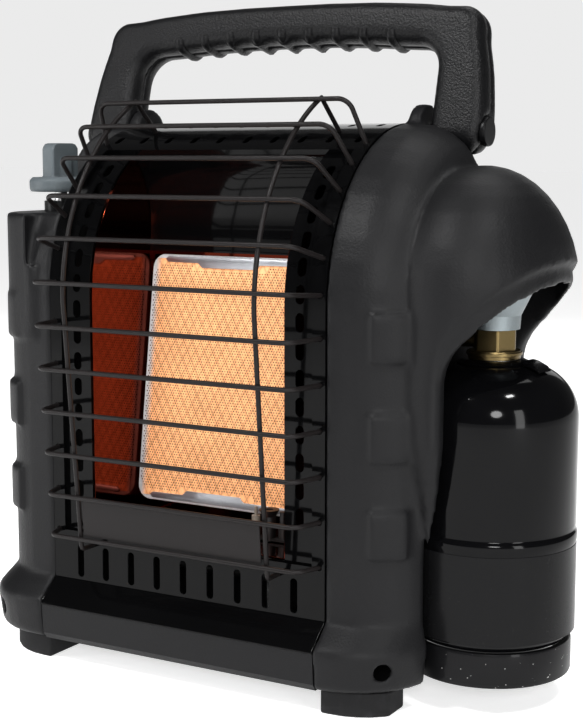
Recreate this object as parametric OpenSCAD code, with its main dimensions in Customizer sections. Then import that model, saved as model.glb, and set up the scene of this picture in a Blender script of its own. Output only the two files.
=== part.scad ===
// Portable propane heater: a steel cased radiant heater between two moulded side shells,
// with a wire guard, a folding carry handle and a gas cylinder hung from a swing-out regulator.
// Millimetres, +Z up. The heater faces -Y, and the cylinder hangs on the +X side.

/* [Case] */
// Half width of the steel front between the two side shells
seam_x = 93.5; // [85:0.5:105]
// Half width across the side shells
side_x = 144; // [140:0.5:148]
// Distance of the front plane ahead of the case centre
panel_y = 75; // [70:1:85]
// Distance of the rear face behind the case centre
rear_y = 85; // [80:1:95]
// Radius of the front's curved top
arc_r = 101; // [92:1:106]
// Height of the centre of the front's curved top
arc_z = 222; // [215:1:235]
// Radius of the rear top edge
rear_r = 45; // [42:1:52]
// Rounding of a side shell's front, top and outer edges
corner_r = 40; // [30:1:41]
// Wall of the moulded parts
wall = 3; // [2.4:0.1:3.6]
// Thickness of the sheet steel parts
sheet = 1; // [0.8:0.1:1.4]
// Gap between neighbouring covers
seam_gap = 0.3; // [0.2:0.05:0.5]

/* [Base] */
// Height of the feet
foot_h = 14; // [10:1:18]
// Length of a foot across the case
foot_x = 36; // [30:1:38]
// Depth of a foot from front to back
foot_y = 26; // [20:1:34]
// Height of the widest line of the base
ridge_z = 37; // [33:1:41]
// Height where the base starts to flare out
base_h = 50; // [46:1:56]
// How far the base stands out at the front
flare_front = 15; // [10:1:18]
// How far the base stands out at the knob's side
flare_side = 8; // [4:1:9]
// How far the base stands out beside the cylinder
flare_cyl_side = 1; // [0:0.5:2]

/* [Front] */
// Half width of the heater window
window_x = 66.5; // [64:0.5:68]
// Height of the window's lower edge
window_z = 80; // [76:1:84]
// Angle up the curved top where the window ends
window_angle = 58; // [50:1:62]
// Width of the flat band beside each side shell
band_w = 8; // [6:0.5:10]
// Depth of the perforated flange behind the front plane
flange_depth = 3; // [2:0.5:5]
// Number of vent slots under the window
vent_n = 9; // [5:1:9]
// Spacing of the vent slots
vent_pitch = 18.5; // [16:0.5:19]
// Width of a vent slot
vent_w = 4.6; // [3:0.2:6]
// Height of the vent slots' lower ends
vent_z = 52; // [51:0.5:56]
// Length of a vent slot
vent_len = 20; // [12:1:21]
// Spacing of the flange slots
flange_pitch = 15.5; // [14:0.5:20]
// Width of a flange slot
flange_slot_w = 5.4; // [3:0.2:6]
// Length of a flange slot
flange_slot_len = 10.5; // [8:0.5:12]

/* [Guard] */
// Diameter of the guard's wire
wire_d = 2.8; // [2.2:0.1:3.4]
// Gap between the curved top and the guard's upright wires
guard_gap = 25; // [20:0.5:30]
// Gap between the front plane and the lower ends of the upright wires
guard_low_gap = 12; // [9:0.5:16]
// Distance of each upright wire from the middle
guard_x = 64; // [58:1:68]
// Spacing of the cross wires
guard_pitch = 25.3; // [24:0.1:26]
// Height of the lowest cross wire
guard_z = 80; // [78:1:84]
// Number of cross wires
guard_n = 12; // [10:1:12]
// Distance of the cross wires' inward ends from the middle
guard_end_x = 90; // [88:0.5:90.5]
// Where the cross wires start to bend, from the middle
guard_flat_x = 78.5; // [74:0.5:80]
// Bend radius of the cross wires' ends
guard_bend = 8; // [6:0.5:9]
// Angle up the curved top where the upright wires turn down
guard_turn = 66; // [64:1:70]

/* [Handle] */
// Height of the handle's pivot
pivot_z = 318; // [314:1:321]
// Distance of the pivot behind the case centre
pivot_y = 34.5; // [32:0.5:37]
// Backward lean of the upright handle
lean = 15; // [5:1:16]
// Height of the handle above its pivot
handle_h = 79.6; // [76:0.1:84]
// Half width across the handle's legs
handle_x = 140.5; // [139:0.5:142]
// Width of a leg
leg_w = 34; // [30:0.5:35]
// Thickness of the handle from front to back
handle_t = 26; // [20:1:28]
// Height of the grip bar
grip_h = 24; // [22:0.5:26]
// Number of finger ribs
rib_n = 9; // [5:1:9]
// Spacing of the finger ribs
rib_pitch = 18.8; // [14:0.2:19]
// Radius of a finger rib
rib_r = 4; // [3:0.5:5]
// Radius of the pivot bolts
bolt_r = 4; // [3:0.25:5]
// Radius of the ears that carry the pivot bolts
ear_r = 16; // [12:1:17]
// Thickness of an ear
ear_t = 8; // [6:1:9]

/* [Cylinder] */
// Distance of the cylinder's axis from the case centre
cyl_x = 160; // [158:0.5:163]
// Radius of the gas cylinder
cyl_r = 48; // [46:0.5:49]
// Height of the cylinder's lower rim
cyl_z = 16.4; // [15:0.1:20]
// Height of the cylinder's shoulder crown
crown_z = 190; // [180:1:195]
// Wall of the cylinder
cyl_wall = 1.4; // [1:0.1:2]
// Radius of the threaded neck
neck_r = 12.7; // [11:0.1:14]
// Bore of the neck and the valve seat
neck_bore_r = 4; // [3:0.5:6]
// Clearance between the cylinder and the recess in the side shell
nest_gap = 4; // [2.5:0.5:5]

/* [Regulator] */
// Height of the swing axis
swing_z = 250; // [248:1:254]
// Radius of the regulator body
reg_r = 28; // [24:1:30]
// Height of the regulator body
reg_h = 22; // [18:1:26]
// Radius of the swing spigot
spigot_r = 6; // [5:0.5:7]
// Height of the brass inlet nut
nut_h = 13.5; // [12:0.5:15]
// Width of the inlet nut across its flats
nut_af = 22; // [20:0.5:24]
// Radius of the threaded cup under the nut
cup_r = 14.6; // [14.2:0.1:15.5]

/* [Hood] */
// Distance of the hood's centre from the case centre
hood_x = 152; // [150:0.5:153]
// Distance of the hood's centre behind the case centre
hood_y = 1.5; // [0:0.5:3]
// Height of the hood's centre
hood_z = 230; // [228:0.5:232]
// Reach of the hood outward from its centre
hood_rx = 51.5; // [51:0.5:53]
// Half depth of the hood from front to back
hood_ry = 65; // [64:0.5:67]
// Height of the hood above its centre
hood_rz = 69; // [66:0.5:70]
// How far the lip of the hood's mouth is drawn in
lip_in = 3.5; // [2.5:0.5:4]
// Wall of the rolled lip
lip_wall = 3; // [2.5:0.5:4]

/* [Control] */
// Distance of the knob's axis from the case centre
knob_x = 123.5; // [121:0.5:125]
// Distance of the knob's axis ahead of the case centre
knob_y = 25; // [20:1:30]
// Height of the flat step under the knob
pod_z = 270; // [262:1:276]
// Radius of the knob's skirt
knob_r = 19.5; // [16:0.5:20]
// Thickness of the knob's skirt
skirt_h = 9; // [7:0.5:11]
// Height of the knob's grip blade above the skirt
blade_h = 21; // [15:1:24]
// Thickness of the grip blade
blade_t = 9; // [7:0.5:10]
// Length of the grip blade
blade_len = 25; // [22:0.5:30]
// Radius of the valve spindle
spindle_r = 4; // [3:0.25:5]
// Push travel of the knob
push = 5; // [3:0.5:6]

/* [Burner] */
// Width of the burner
burner_w = 126; // [110:1:130]
// Height of the burner
burner_h = 152; // [130:1:156]
// Height of the burner's lower edge
burner_z = 93; // [90:1:100]
// Distance of the burner's lower edge ahead of the case centre
burner_y = 31; // [28:0.5:32]
// Backward lean of the burner
burner_lean = 8; // [6:0.5:9]
// Thickness of the ceramic plaque
tile_t = 13; // [10:1:16]
// Depth of the steel mixing box behind the plaque
plenum_d = 24; // [18:1:30]
// Width of the white edge round the perforated field
tile_edge = 6; // [4:1:9]

/* [Screws] */
// Radius of the case screws' heads
screw_r = 3.5; // [3:0.25:4.5]
// Radius of the case screws' shanks
shank_r = 1.8; // [1.5:0.1:2.2]

/* [Hidden] */
$fn = 48;
eps = 0.01;                                  // overlap of cutting solids
slice = 0.2;                                 // thickness of the outlines that a skin runs through
fit = 0.05;                                  // radial running clearance
free_gap = 0.3;                              // clearance between neighbouring pieces
arc_y = arc_r - panel_y;                     // centre of the front's curved top
top_z = arc_z + arc_r;                       // top of the case
rear_cy = rear_y - rear_r;                   // centre of the rear top edge
rear_cz = top_z - rear_r;
shoulder_x = 110;                            // where the shoulder starts to slope down
shoulder_z = pivot_z - handle_t / 2 - 1.5;
flange_x = seam_x - band_w;                  // outer edge of the perforated flange
guard_r = arc_r + guard_gap;                 // radius of the upright wires' centre line
guard_weld = 0.3;                            // depth to which welded wires sink in each other
cross_r = guard_r + wire_d - guard_weld;     // radius of the cross wires' centre line
guard_foot_z = guard_z - 7;                  // lower ends of the upright wires
guard_drop = arc_z - guard_foot_z;
guard_slope = atan((guard_gap - guard_low_gap) / guard_drop);
guard_line = guard_drop / cos(guard_slope);
nest_r = cyl_r + nest_gap;                   // radius of the recess that holds the cylinder
right_x = cyl_x + cyl_r;                     // outermost points of the whole heater
left_x = side_x + flare_side;
front_y = panel_y + guard_gap + wire_d - guard_weld + wire_d / 2;
centre_x = (right_x - left_x) / 2;           // middle of the whole heater in the case's frame
centre_y = (rear_y - front_y) / 2;
nut_top = swing_z - 41.3;                    // underside of the regulator's throat
nut_low = nut_top - nut_h;
stub_r = 6;                                  // gas stub in the nut's bore
bolt_head_r = 6.2;
cup_low = crown_z + 2.4;
neck_top = nut_low + 0.4;
bead_out = 0.7;                              // how far the rolled joint stands out
bead_z = cyl_z + 78;                         // rolled joint of the cylinder's two halves
band_z = cyl_z + 20;
knob_low = pod_z + 12;                       // underside of the knob's skirt
knob_top = knob_low + skirt_h + blade_h;
shell_step_x = seam_x + 2;                   // inner edge of the step under the knob
shell_step_y = 8;                            // rear edge of the step under the knob
pod_x = 112;                                 // inner face of the box under the knob
bump_h = 26;                                 // raised pads on the shells' front corners
bump_out = 3;
bump_zs = [88, 141, 195];
black = "#232324";
gloss = "#0c0c0d";
grey = "#8f979b";
brassy = "#a98a4a";

// ---- shared outlines ----

// Side outline of the case, drawn in by the given inset and cut off at height z0
function case_profile(inset, z0) = concat(
    [[-(panel_y - inset), z0]],
    [for (a = [0 : 7.5 : 90]) [arc_y - (arc_r - inset) * cos(a), arc_z + (arc_r - inset) * sin(a)]],
    [for (a = [90 : -10 : 0]) [rear_cy + (rear_r - inset) * cos(a), rear_cz + (rear_r - inset) * sin(a)]],
    [[rear_y - inset, z0]]
);

// Quarter circle of points round a centre, from one angle to another
function arc_points(cx, cy, r, a0, a1, steps) =
    [for (i = [0 : steps]) let (a = a0 + (a1 - a0) * i / steps) [cx + r * cos(a), cy + r * sin(a)]];

// Plan outline of one half of the base on the +X side
function base_plan(front, side, r, inset, x0) = concat(
    [[x0, -(front - inset)]],
    arc_points(side - r, -(front - r), r - inset, -90, 0, 8),
    arc_points(side - 12, rear_y - 12, 12 - inset, 0, 90, 4),
    [[x0, rear_y - inset]]
);

// A rod between two points
module rod(p, q, r) {
    v = q - p;
    len = norm(v);
    translate(p)
        rotate([0, acos(v[2] / len), atan2(v[1], v[0])])
            cylinder(r = r, h = len);
}

// Unit direction of one run of a path, and of the path at one of its points
function run_dir(path, i) = (path[i + 1] - path[i]) / norm(path[i + 1] - path[i]);
function path_dir(path, i) =
    i == 0 ? run_dir(path, 0)
    : i == len(path) - 1 ? run_dir(path, i - 1)
    : let (v = run_dir(path, i - 1) + run_dir(path, i)) v / norm(v);

// A wire bent along a flat path; the normal is square to the path's plane
module wire(path, normal, r, sides = 8) {
    rings = len(path);
    ring_r = r / cos(180 / sides);
    polyhedron(
        points = [
            for (i = [0 : rings - 1])
                let (t = path_dir(path, i), k = 1 / (t * run_dir(path, min(i, rings - 2))))
                    for (j = [0 : sides - 1])
                        let (a = 360 * (j + 0.5) / sides)
                            path[i] + ring_r * (cos(a) * normal + k * sin(a) * cross(t, normal))
        ],
        faces = concat(
            [[for (j = [0 : sides - 1]) j]],
            [
                for (i = [0 : rings - 2], j = [0 : sides - 1])
                    let (n = (j + 1) % sides)
                        [i * sides + j, (i + 1) * sides + j, (i + 1) * sides + n, i * sides + n]
            ],
            [[for (j = [sides - 1 : -1 : 0]) (rings - 1) * sides + j]]
        )
    );
}

// A solid swept along X from a side outline in Y and Z
module along_x(x0, x1) {
    translate([x0, 0, 0])
        rotate([90, 0, 90])
            linear_extrude(x1 - x0) children();
}

// Moves the case's own frame so that the whole heater is centred on the origin
module placed() {
    translate([-centre_x, -centre_y, 0]) children();
}

// The handle's own frame: its pivot axis lies along X at the origin
module at_pivot() {
    translate([0, pivot_y, pivot_z])
        rotate([-lean, 0, 0]) children();
}

// ---- side shells ----

// Rounded column of a shell on the +X side, grown outward or drawn in
module shell_column(grow, x0, z0) {
    hull()
        for (a = [0 : 11.25 : 90]) {
            inset = corner_r * (1 - cos(a)) - grow;
            x = side_x - corner_r + (corner_r + grow) * sin(a);
            along_x(a == 0 ? x0 : x - slice, a == 0 ? x0 + slice : x)
                polygon(case_profile(inset, z0));
        }
}

// Flared base of a shell on the +X side
module shell_base(inset, x0, z0, flare) {
    levels = [
        [z0, flare_front - 5, flare - 5],
        [z0 + 3, flare_front - 2, flare - 2],
        [ridge_z - 2, flare_front, flare],
        [ridge_z + 1, flare_front - 0.6, flare - 0.4],
        [base_h, 0, 0]
    ];
    hull()
        for (l = levels)
            translate([0, 0, l[0]])
                linear_extrude(slice)
                    polygon(base_plan(panel_y + l[1], side_x + l[2], corner_r + l[1] / 2, inset, x0));
}

// Ear that carries a pivot bolt, with its root in the shell's top
module ear() {
    difference() {
        union() {
            translate([seam_x + 1.5, pivot_y, pivot_z])
                rotate([0, 90, 0])
                    cylinder(r = ear_r, h = ear_t);
            translate([seam_x + 1.5, pivot_y - ear_r, top_z - 20])
                cube([ear_t, 2 * ear_r, 20 + pivot_z - top_z]);
        }
        bolt_bore();
    }
}

// Bore of a pivot bolt, with the seat of its head
module bolt_bore() {
    translate([seam_x - 1, pivot_y, pivot_z])
        rotate([0, 90, 0]) {
            cylinder(r = bolt_r + fit, h = 40);
            cylinder(r = bolt_head_r + free_gap, h = 2.5);
        }
}

// Room for the handle's leg end and for the leg when it is folded back
module leg_pocket(grow) {
    gap_r = handle_t / 2 + 1.5 + grow;
    x0 = handle_x - leg_w - 1.5 - grow;
    translate([x0, pivot_y, pivot_z])
        rotate([0, 90, 0])
            cylinder(r = gap_r, h = 90);
    translate([x0, pivot_y, pivot_z - gap_r])
        cube([90, rear_y, 80]);
    translate([x0, pivot_y - gap_r, pivot_z])
        cube([90, 2 * gap_r, 80]);
}

// Slope of a shell's shoulder behind the handle's leg, down to height z1 at the outer side
module shoulder_cut(grow, z1) {
    drop = 30 * (shoulder_z - z1) / (side_x - shoulder_x);
    translate([-0.7 * grow, rear_y + 20, -0.714 * grow])
        rotate([90, 0, 0])
            linear_extrude(rear_y + 20 - pivot_y + handle_t / 2 + 1.5 + grow)
                polygon([
                    [shoulder_x, shoulder_z], [side_x, z1], [side_x + 30, z1 - drop], [side_x + 30, 340],
                    [shoulder_x, 340]
                ]);
}

// Raised pads down the front corner
module corner_pads() {
    intersection() {
        translate([side_x - corner_r, -(panel_y - corner_r), base_h])
            cylinder(r = corner_r + bump_out, h = arc_z - base_h, $fn = 96);
        for (z = bump_zs)
            translate([side_x - 24, -panel_y - bump_out, z])
                cube([17, 24, bump_h]);
    }
}

// Blind recess of a base screw in the flared corner
module base_screw_hole() {
    translate([side_x - 17, -(panel_y - 3), foot_h + 13])
        rotate([90, 0, 34])
            cylinder(r = screw_r + 1.2, h = 30);
}

// Step cut out of the shell's shoulder for the knob
module knob_step(grow) {
    translate([shell_step_x - grow, -panel_y - 20, pod_z - grow])
        cube([side_x, panel_y + 20 + shell_step_y + grow, 80]);
}

// Upright box that carries the flat step under the knob
module pod(inset, z0) {
    translate([0, 0, z0])
        linear_extrude(pod_z - z0)
            intersection() {
                polygon(base_plan(panel_y + 1.5, side_x + 1.5, corner_r, inset, pod_x));
                translate([0, -100]) square([200, 100 + shell_step_y]);
            }
}

module left_shell() {
    color(black)
    placed()
    mirror([1, 0, 0])
        difference() {
            union() {
                difference() {
                    union() {
                        difference() {
                            shell_column(0, seam_x + seam_gap / 2, base_h - eps);
                            shoulder_cut(0, 280);
                        }
                        shell_base(0, seam_x + seam_gap / 2, foot_h, flare_side);
                        corner_pads();
                        pod(0, bump_zs[2]);
                    }
                    difference() {
                        union() {
                            shell_column(-wall, seam_x - 5, base_h - 1);
                            shell_base(wall, seam_x - 5, foot_h - 1, flare_side);
                        }
                        knob_step(wall);
                        leg_pocket(wall);
                        shoulder_cut(wall, 280);
                    }
                }
                ear();
            }
            bolt_bore();
            knob_step(0);
            leg_pocket(0);
            base_screw_hole();
            translate([knob_x, -knob_y, pod_z - 2 * wall])
                cylinder(r = bushing_r + free_gap, h = 3 * wall);
        }
}

// Dome over the regulator, with an oval skirt that dies away towards the base
module hood_form(grow, facets) {
    rx = hood_rx + grow;
    ry = hood_ry + grow;
    hull() {
        translate([hood_x, hood_y, hood_z])
            scale([rx, ry, hood_rz + grow]) sphere(1, $fn = facets);
        translate([hood_x, hood_y, 150])
            scale([rx, ry, 1]) cylinder(r = 1, h = 1, $fn = facets);
        translate([hood_x, hood_y, 90])
            scale([rx, ry, 1]) cylinder(r = 0.8, h = 1, $fn = facets);
    }
}

// Edge of the hood's mouth seen from the front, as distances from the hood's centre
crease = [
    [54, 19], [48.9, 16.5], [44.9, 14.7], [41, 12], [36.6, 8.6], [31.8, 5.1], [26.6, 0.9],
    [20.9, -4.2], [14.9, -10], [9.9, -15.5], [5.9, -21.1], [2.4, -28.1], [0.3, -35.1],
    [-0.8, -43.4], [-1, -80], [-7, -135], [-7, -230]
];
// Edge of its lip, beyond the first one
lip_edge = [
    [54, 11], [48.9, 7.8], [45.7, 5.5], [41.4, 2.2], [36.7, -1.3], [31.8, -5.2], [26.4, -10.1],
    [20.6, -15.6], [16, -20.5], [11.6, -24.5], [7.2, -30], [3.8, -35.8], [1.7, -43.6],
    [1.5, -80], [-5, -135], [-5, -230]
];

// Everything outside an edge of the mouth, moved inward by the given depth
module mouth_cut(edge, depth) {
    translate([hood_x - depth * 0.75, 200, hood_z + depth * 0.65])
        rotate([90, 0, 0])
            linear_extrude(400)
                polygon(concat(edge, [[120, -230], [120, edge[0][1]]]));
}

module cylinder_room(grow, top) {
    translate([cyl_x, 0, 0])
        cylinder(r = nest_r + grow, h = top);
}

module right_shell() {
    color(black)
    placed()
        difference() {
            union() {
                difference() {
                    shell_column(0, seam_x + seam_gap / 2, base_h - eps);
                    shoulder_cut(0, 264);
                }
                shell_base(0, seam_x + seam_gap / 2, foot_h, flare_cyl_side);
                corner_pads();
                difference() {
                    hood_form(0, 40);
                    mouth_cut(crease, 0);
                }
                // rolled lip round the mouth
                difference() {
                    hood_form(-lip_in, 32);
                    mouth_cut(lip_edge, 0);
                }
                ear();
            }
            // inside of the case, up to the wall round the cylinder's recess
            difference() {
                union() {
                    shell_column(-wall, seam_x - 5, base_h - 1);
                    shell_base(wall, seam_x - 5, foot_h - 1, flare_cyl_side);
                }
                cylinder_room(wall, 400);
                leg_pocket(wall);
                shoulder_cut(wall, 264);
                translate([seam_x, pivot_y - ear_r, top_z - 20])
                    cube([ear_t + 1.5, 2 * ear_r, 40]);
            }
            // recess below, and the regulator's chamber under the hood
            cylinder_room(0, nut_low + 5);
            intersection() {
                cylinder_room(0, 400);
                hood_form(-lip_in - lip_wall, 28);
            }
            leg_pocket(0);
            bolt_bore();
            base_screw_hole();
            translate([seam_x, spigot_y1 + 6, swing_z])
                rotate([0, 90, 0])
                    cylinder(r = tube_r + 1, h = side_x - seam_x);
        }
}

// ---- base ----

// Strip of the base between the shells: [front offset, height] of its face
function apron(inset) = [
    [-(panel_y - inset), base_h], [-(panel_y + flare_front - inset), ridge_z],
    [-(panel_y + flare_front - inset), ridge_z - 1]
];

module base_trim() {
    color(gloss)
    placed()
        along_x(-seam_x, seam_x)
            polygon(concat(apron(0), [for (i = [2 : -1 : 0]) apron(sheet + 0.2)[i]]));
}

module base_pan() {
    low = foot_h;
    face = panel_y + flare_front;
    color(black)
    placed()
        union() {
            along_x(-seam_x, seam_x)
                polygon([
                    [-face + 0.8, ridge_z - 1 - seam_gap], [-face + 2, low + 4], [-face + 5, low],
                    [-face + 12, low], [-face + 12, low + wall], [-face + 5.5, low + wall],
                    [-face + 5, low + 5], [-face + 3.8, ridge_z - 1 - seam_gap]
                ]);
            difference() {
                translate([0, 0, low])
                    linear_extrude(wall) {
                        polygon(base_plan(panel_y + 8, side_x - 6, corner_r, wall + 1, 0));
                        mirror([1, 0])
                            polygon(base_plan(panel_y + 8, side_x - 6, corner_r, wall + 1, 0));
                    }
                translate([cyl_x, 0, 0])
                    cylinder(r = nest_r + wall + free_gap, h = 60);
            }
        }
}

module foot() {
    x0 = seam_x + 0.5;
    linear_extrude(foot_h)
        intersection() {
            polygon(base_plan(panel_y + 6, side_x - 4, corner_r, 0, 0));
            translate([x0, -(panel_y + 10)])
                square([foot_x, 10 + foot_y]);
        }
    translate([x0 + 4, rear_y - foot_y - 2, 0])
        cube([foot_x - 8, foot_y, foot_h]);
}

module feet() {
    color(black)
    placed() {
        foot();
        mirror([1, 0, 0]) foot();
    }
}

// ---- front ----

// Band of sheet that follows the case's side outline between two insets, up to an angle
module front_strip(inset, thick, z0, a1) {
    polygon(concat(
        [[-(panel_y - inset), z0]],
        arc_profile(inset, 0, a1),
        [for (i = [arc_steps : -1 : 0]) arc_profile(inset + thick, 0, a1)[i]],
        [[-(panel_y - inset - thick), z0]]
    ));
}

arc_steps = 16;
function arc_profile(inset, a0, a1) =
    [for (i = [0 : arc_steps])
        let (a = a0 + (a1 - a0) * i / arc_steps)
            [arc_y - (arc_r - inset) * cos(a), arc_z + (arc_r - inset) * sin(a)]];

// A slot with round ends, cut along Y; its long side is along Z
module slot(w, len, depth) {
    rotate([90, 0, 0])
        translate([0, 0, -depth / 2])
            linear_extrude(depth) {
                translate([0, (len - w) / 2]) circle(d = w, $fn = 24);
                translate([0, -(len - w) / 2]) circle(d = w, $fn = 24);
                square([w, len - w], center = true);
            }
}

// Places children on the curved top at an angle, facing outward
module on_arc(a, r) {
    translate([0, arc_y, arc_z])
        rotate([-a, 0, 0])
            translate([0, -r, 0]) children();
}

module flange_slots() {
    x = (window_x + flange_x) / 2;
    straight_n = floor((arc_z - window_z - 6) / flange_pitch);
    arc_step = flange_pitch / arc_r * 180 / PI;
    arc_n = floor(window_angle / arc_step);
    for (s = [-1, 1]) {
        for (i = [0 : straight_n - 1])
            translate([s * x, -panel_y + flange_depth, arc_z - flange_pitch * (i + 0.5)])
                slot(flange_slot_w, flange_slot_len, 8);
        for (i = [0 : arc_n - 1])
            on_arc((i + 0.5) * arc_step, arc_r - flange_depth)
                translate([s * x, 0, 0])
                    slot(flange_slot_w, flange_slot_len, 8);
    }
}

module top_slots() {
    for (a = [window_angle + 7, window_angle + 23])
        for (i = [0 : 9])
            on_arc(a, arc_r)
                translate([(i - 4.5) * vent_pitch, 0, 0])
                    slot(4, 9, 8);
}

module vent_slots() {
    for (i = [0 : vent_n - 1])
        translate([(i - (vent_n - 1) / 2) * vent_pitch, -panel_y, vent_z + vent_len / 2])
            slot(vent_w, vent_len, 8);
}

module front_bezel() {
    color(gloss)
    placed()
        difference() {
            union() {
                for (s = [0, 1])
                    mirror([s, 0, 0]) {
                        along_x(flange_x, seam_x)
                            front_strip(0, sheet, base_h + seam_gap, 90);
                        along_x(flange_x, flange_x + sheet)
                            front_strip(0, flange_depth + sheet, window_z - sheet, window_angle + 1);
                        along_x(window_x, flange_x + sheet)
                            front_strip(flange_depth, sheet, window_z - sheet, window_angle + 1);
                    }
                // panel with the vents, and its step back to the window
                along_x(-seam_x, seam_x)
                    polygon([
                        [-panel_y, base_h + seam_gap], [-panel_y, window_z],
                        [-panel_y + flange_depth + sheet, window_z],
                        [-panel_y + flange_depth + sheet, window_z - sheet],
                        [-panel_y + sheet, window_z - sheet], [-panel_y + sheet, base_h + seam_gap]
                    ]);
                // curved top over the window, and its flat run to the rear cover
                along_x(-seam_x, seam_x)
                    polygon(concat(
                        arc_profile(0, window_angle, 90),
                        [[rear_cy, top_z], [rear_cy, top_z - sheet]],
                        [for (i = [arc_steps : -1 : 0]) arc_profile(sheet, window_angle, 90)[i]]
                    ));
                along_x(-flange_x, flange_x)
                    polygon(concat(
                        arc_profile(0, window_angle, window_angle + 1),
                        [for (i = [arc_steps : -1 : 0])
                            arc_profile(flange_depth + sheet, window_angle, window_angle + 1)[i]]
                    ));
            }
            flange_slots();
            top_slots();
            vent_slots();
            guard_holes();
        }
}

// ---- guard ----

// Places children on the guard's line at cross wire i: -Y points away from the case
module on_guard(i, r) {
    run = guard_z + i * guard_pitch - arc_z;
    if (run > 0)
        on_arc(run / guard_r * 180 / PI, r) children();
    else
        translate([0, -(r - arc_y) - run * tan(guard_slope), arc_z + run]) children();
}

// A cross wire with both ends bent back and outward to the case
module cross_wire(depth) {
    half = concat(
        [for (q = arc_points(guard_flat_x, guard_bend, guard_bend, -90, -12, 5)) [q[0], q[1], 0]],
        [[guard_end_x, depth, 0]]
    );
    n = len(half);
    wire(
        concat([for (i = [n - 1 : -1 : 0]) [-half[i][0], half[i][1], 0]], half),
        [0, 0, 1], wire_d / 2
    );
}

// An upright wire: lower hook, straight run, arc and the tail into the top sheet
// angle of the highest cross wire on the curved top
guard_top_angle = (guard_z + (guard_n - 1) * guard_pitch - arc_z) / (arc_r + guard_gap) * 180 / PI;

module upright_wire() {
    foot_y = -(panel_y + guard_low_gap);
    guard_angle = max(guard_turn, guard_top_angle + 1);
    tail_a = guard_angle + 6;
    tail_r = arc_r + free_gap;
    wire(
        concat(
            [[0, -panel_y - free_gap, guard_foot_z], [0, foot_y, guard_foot_z]],
            [
                for (a = [0 : guard_angle / 12 : guard_angle + eps])
                    [0, arc_y - guard_r * cos(a), arc_z + guard_r * sin(a)]
            ],
            [[0, arc_y - tail_r * cos(tail_a), arc_z + tail_r * sin(tail_a)]]
        ),
        [1, 0, 0], wire_d / 2
    );
}

// Holes in the front's side bands that the cross wires' ends enter
module guard_holes() {
    for (i = [0 : guard_n - 1], s = [-1, 1])
        on_guard(i, guard_r)
            translate([s * guard_end_x, 0, 0])
                rotate([-90, 0, 0])
                    cylinder(r = wire_d / 2 + free_gap, h = guard_gap + 8, $fn = 24);
}

module wire_guard() {
    color("#2e2b2b")
    placed() {
        for (i = [0 : guard_n - 1]) {
            run = guard_z + i * guard_pitch - arc_z;
            off = wire_d - guard_weld;
            reach = guard_gap + off + 2 + min(run, 0) * tan(guard_slope);
            on_guard(i, cross_r)
                cross_wire(reach);
        }
        for (s = [-1, 1])
            translate([s * guard_x, 0, 0]) upright_wire();
    }
}

module guard_plate() {
    y0 = panel_y + guard_low_gap + wire_d / 2 - 2.5;
    h = guard_pitch - wire_d - 2 * free_gap;
    color("#2e2b2b")
    placed()
        translate([0, -y0 - 2.6, guard_z + wire_d / 2 + free_gap])
            rotate([guard_slope, 0, 0])
                translate([-guard_x + 3, 0, 0])
                    cube([2 * guard_x - 6, sheet, h]);
}

// ---- heating chamber ----

reflector_in = flange_depth + sheet + free_gap;  // inset of the reflector's front edges
chamber_y = 8;                                   // front of the chamber's rear wall, ahead of centre

// The burner's own frame: its face is the plane Y = 0 and its lower edge lies on X
module at_burner() {
    translate([0, -burner_y, burner_z])
        rotate([-burner_lean, 0, 0]) children();
}

module reflector() {
    wall_y = arc_y + chamber_y + sheet;
    wall_top = arc_z + sqrt(pow(arc_r - sheet, 2) - pow(wall_y, 2)) - free_gap;
    color(gloss)
    placed()
        difference() {
            union() {
                for (s = [0, 1])
                    mirror([s, 0, 0])
                        along_x(window_x - sheet, window_x)
                            intersection() {
                                polygon(case_profile(reflector_in, window_z + free_gap));
                                translate([-panel_y, 0])
                                    square([panel_y - chamber_y, top_z]);
                            }
                translate([-window_x, -chamber_y - sheet, window_z + free_gap])
                    cube([2 * window_x, sheet, wall_top - window_z - free_gap]);
                translate([-window_x, -panel_y + reflector_in, window_z + free_gap])
                    cube([2 * window_x, panel_y - reflector_in - chamber_y, sheet]);
            }
            // hole for the pilot's tube
            translate([pilot[0], pilot[1], window_z - 5])
                cylinder(r = tube_hole_r, h = 10);
            at_burner()
                translate([-burner_w / 2 - 0.5, -5, -0.5])
                    cube([burner_w + 1, tile_t + plenum_d + 10, burner_h + 1]);
        }
}

// Side outline of the deflector's front face, from the burner's top edge to the window's
deflector_line = [
    [-12, 246], [-10.4, 258], [-10.6, 270], [-13, 281], [-17, 291], [-21.6, 298.4], [-26.5, 303.2]
];

module heat_deflector() {
    x = window_x - sheet - free_gap;
    n = len(deflector_line);
    color(gloss)
    placed()
        along_x(-x, x)
            polygon(concat(
                deflector_line,
                [for (i = [n - 1 : -1 : 0]) deflector_line[i] + sheet * [0.95 - 0.08 * i, 0.02 + 0.12 * i]]
            ));
}

module heat_shield() {
    // steel plates between the hot chamber and the side shells, hung from the top sheet
    x = flange_x - 2;
    color("#3a3a3a")
    placed()
        difference() {
            for (s = [0, 1])
                mirror([s, 0, 0])
                    along_x(x, x + sheet)
                        intersection() {
                            polygon(case_profile(reflector_in + 1, foot_h + wall + free_gap));
                            translate([-panel_y, 0])
                                square([panel_y + rear_cy - 12, top_z]);
                        }
            // holes for the gas tubes on the valve's side
            translate([-x - 10, pilot[1], pilot_low])
                rotate([0, 90, 0]) cylinder(r = tube_hole_r, h = 20);
            translate([-x - 10, mix_y, burner_tube_z])
                rotate([0, 90, 0]) cylinder(r = tube_hole_r + 1, h = 20);
        }
}

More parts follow.
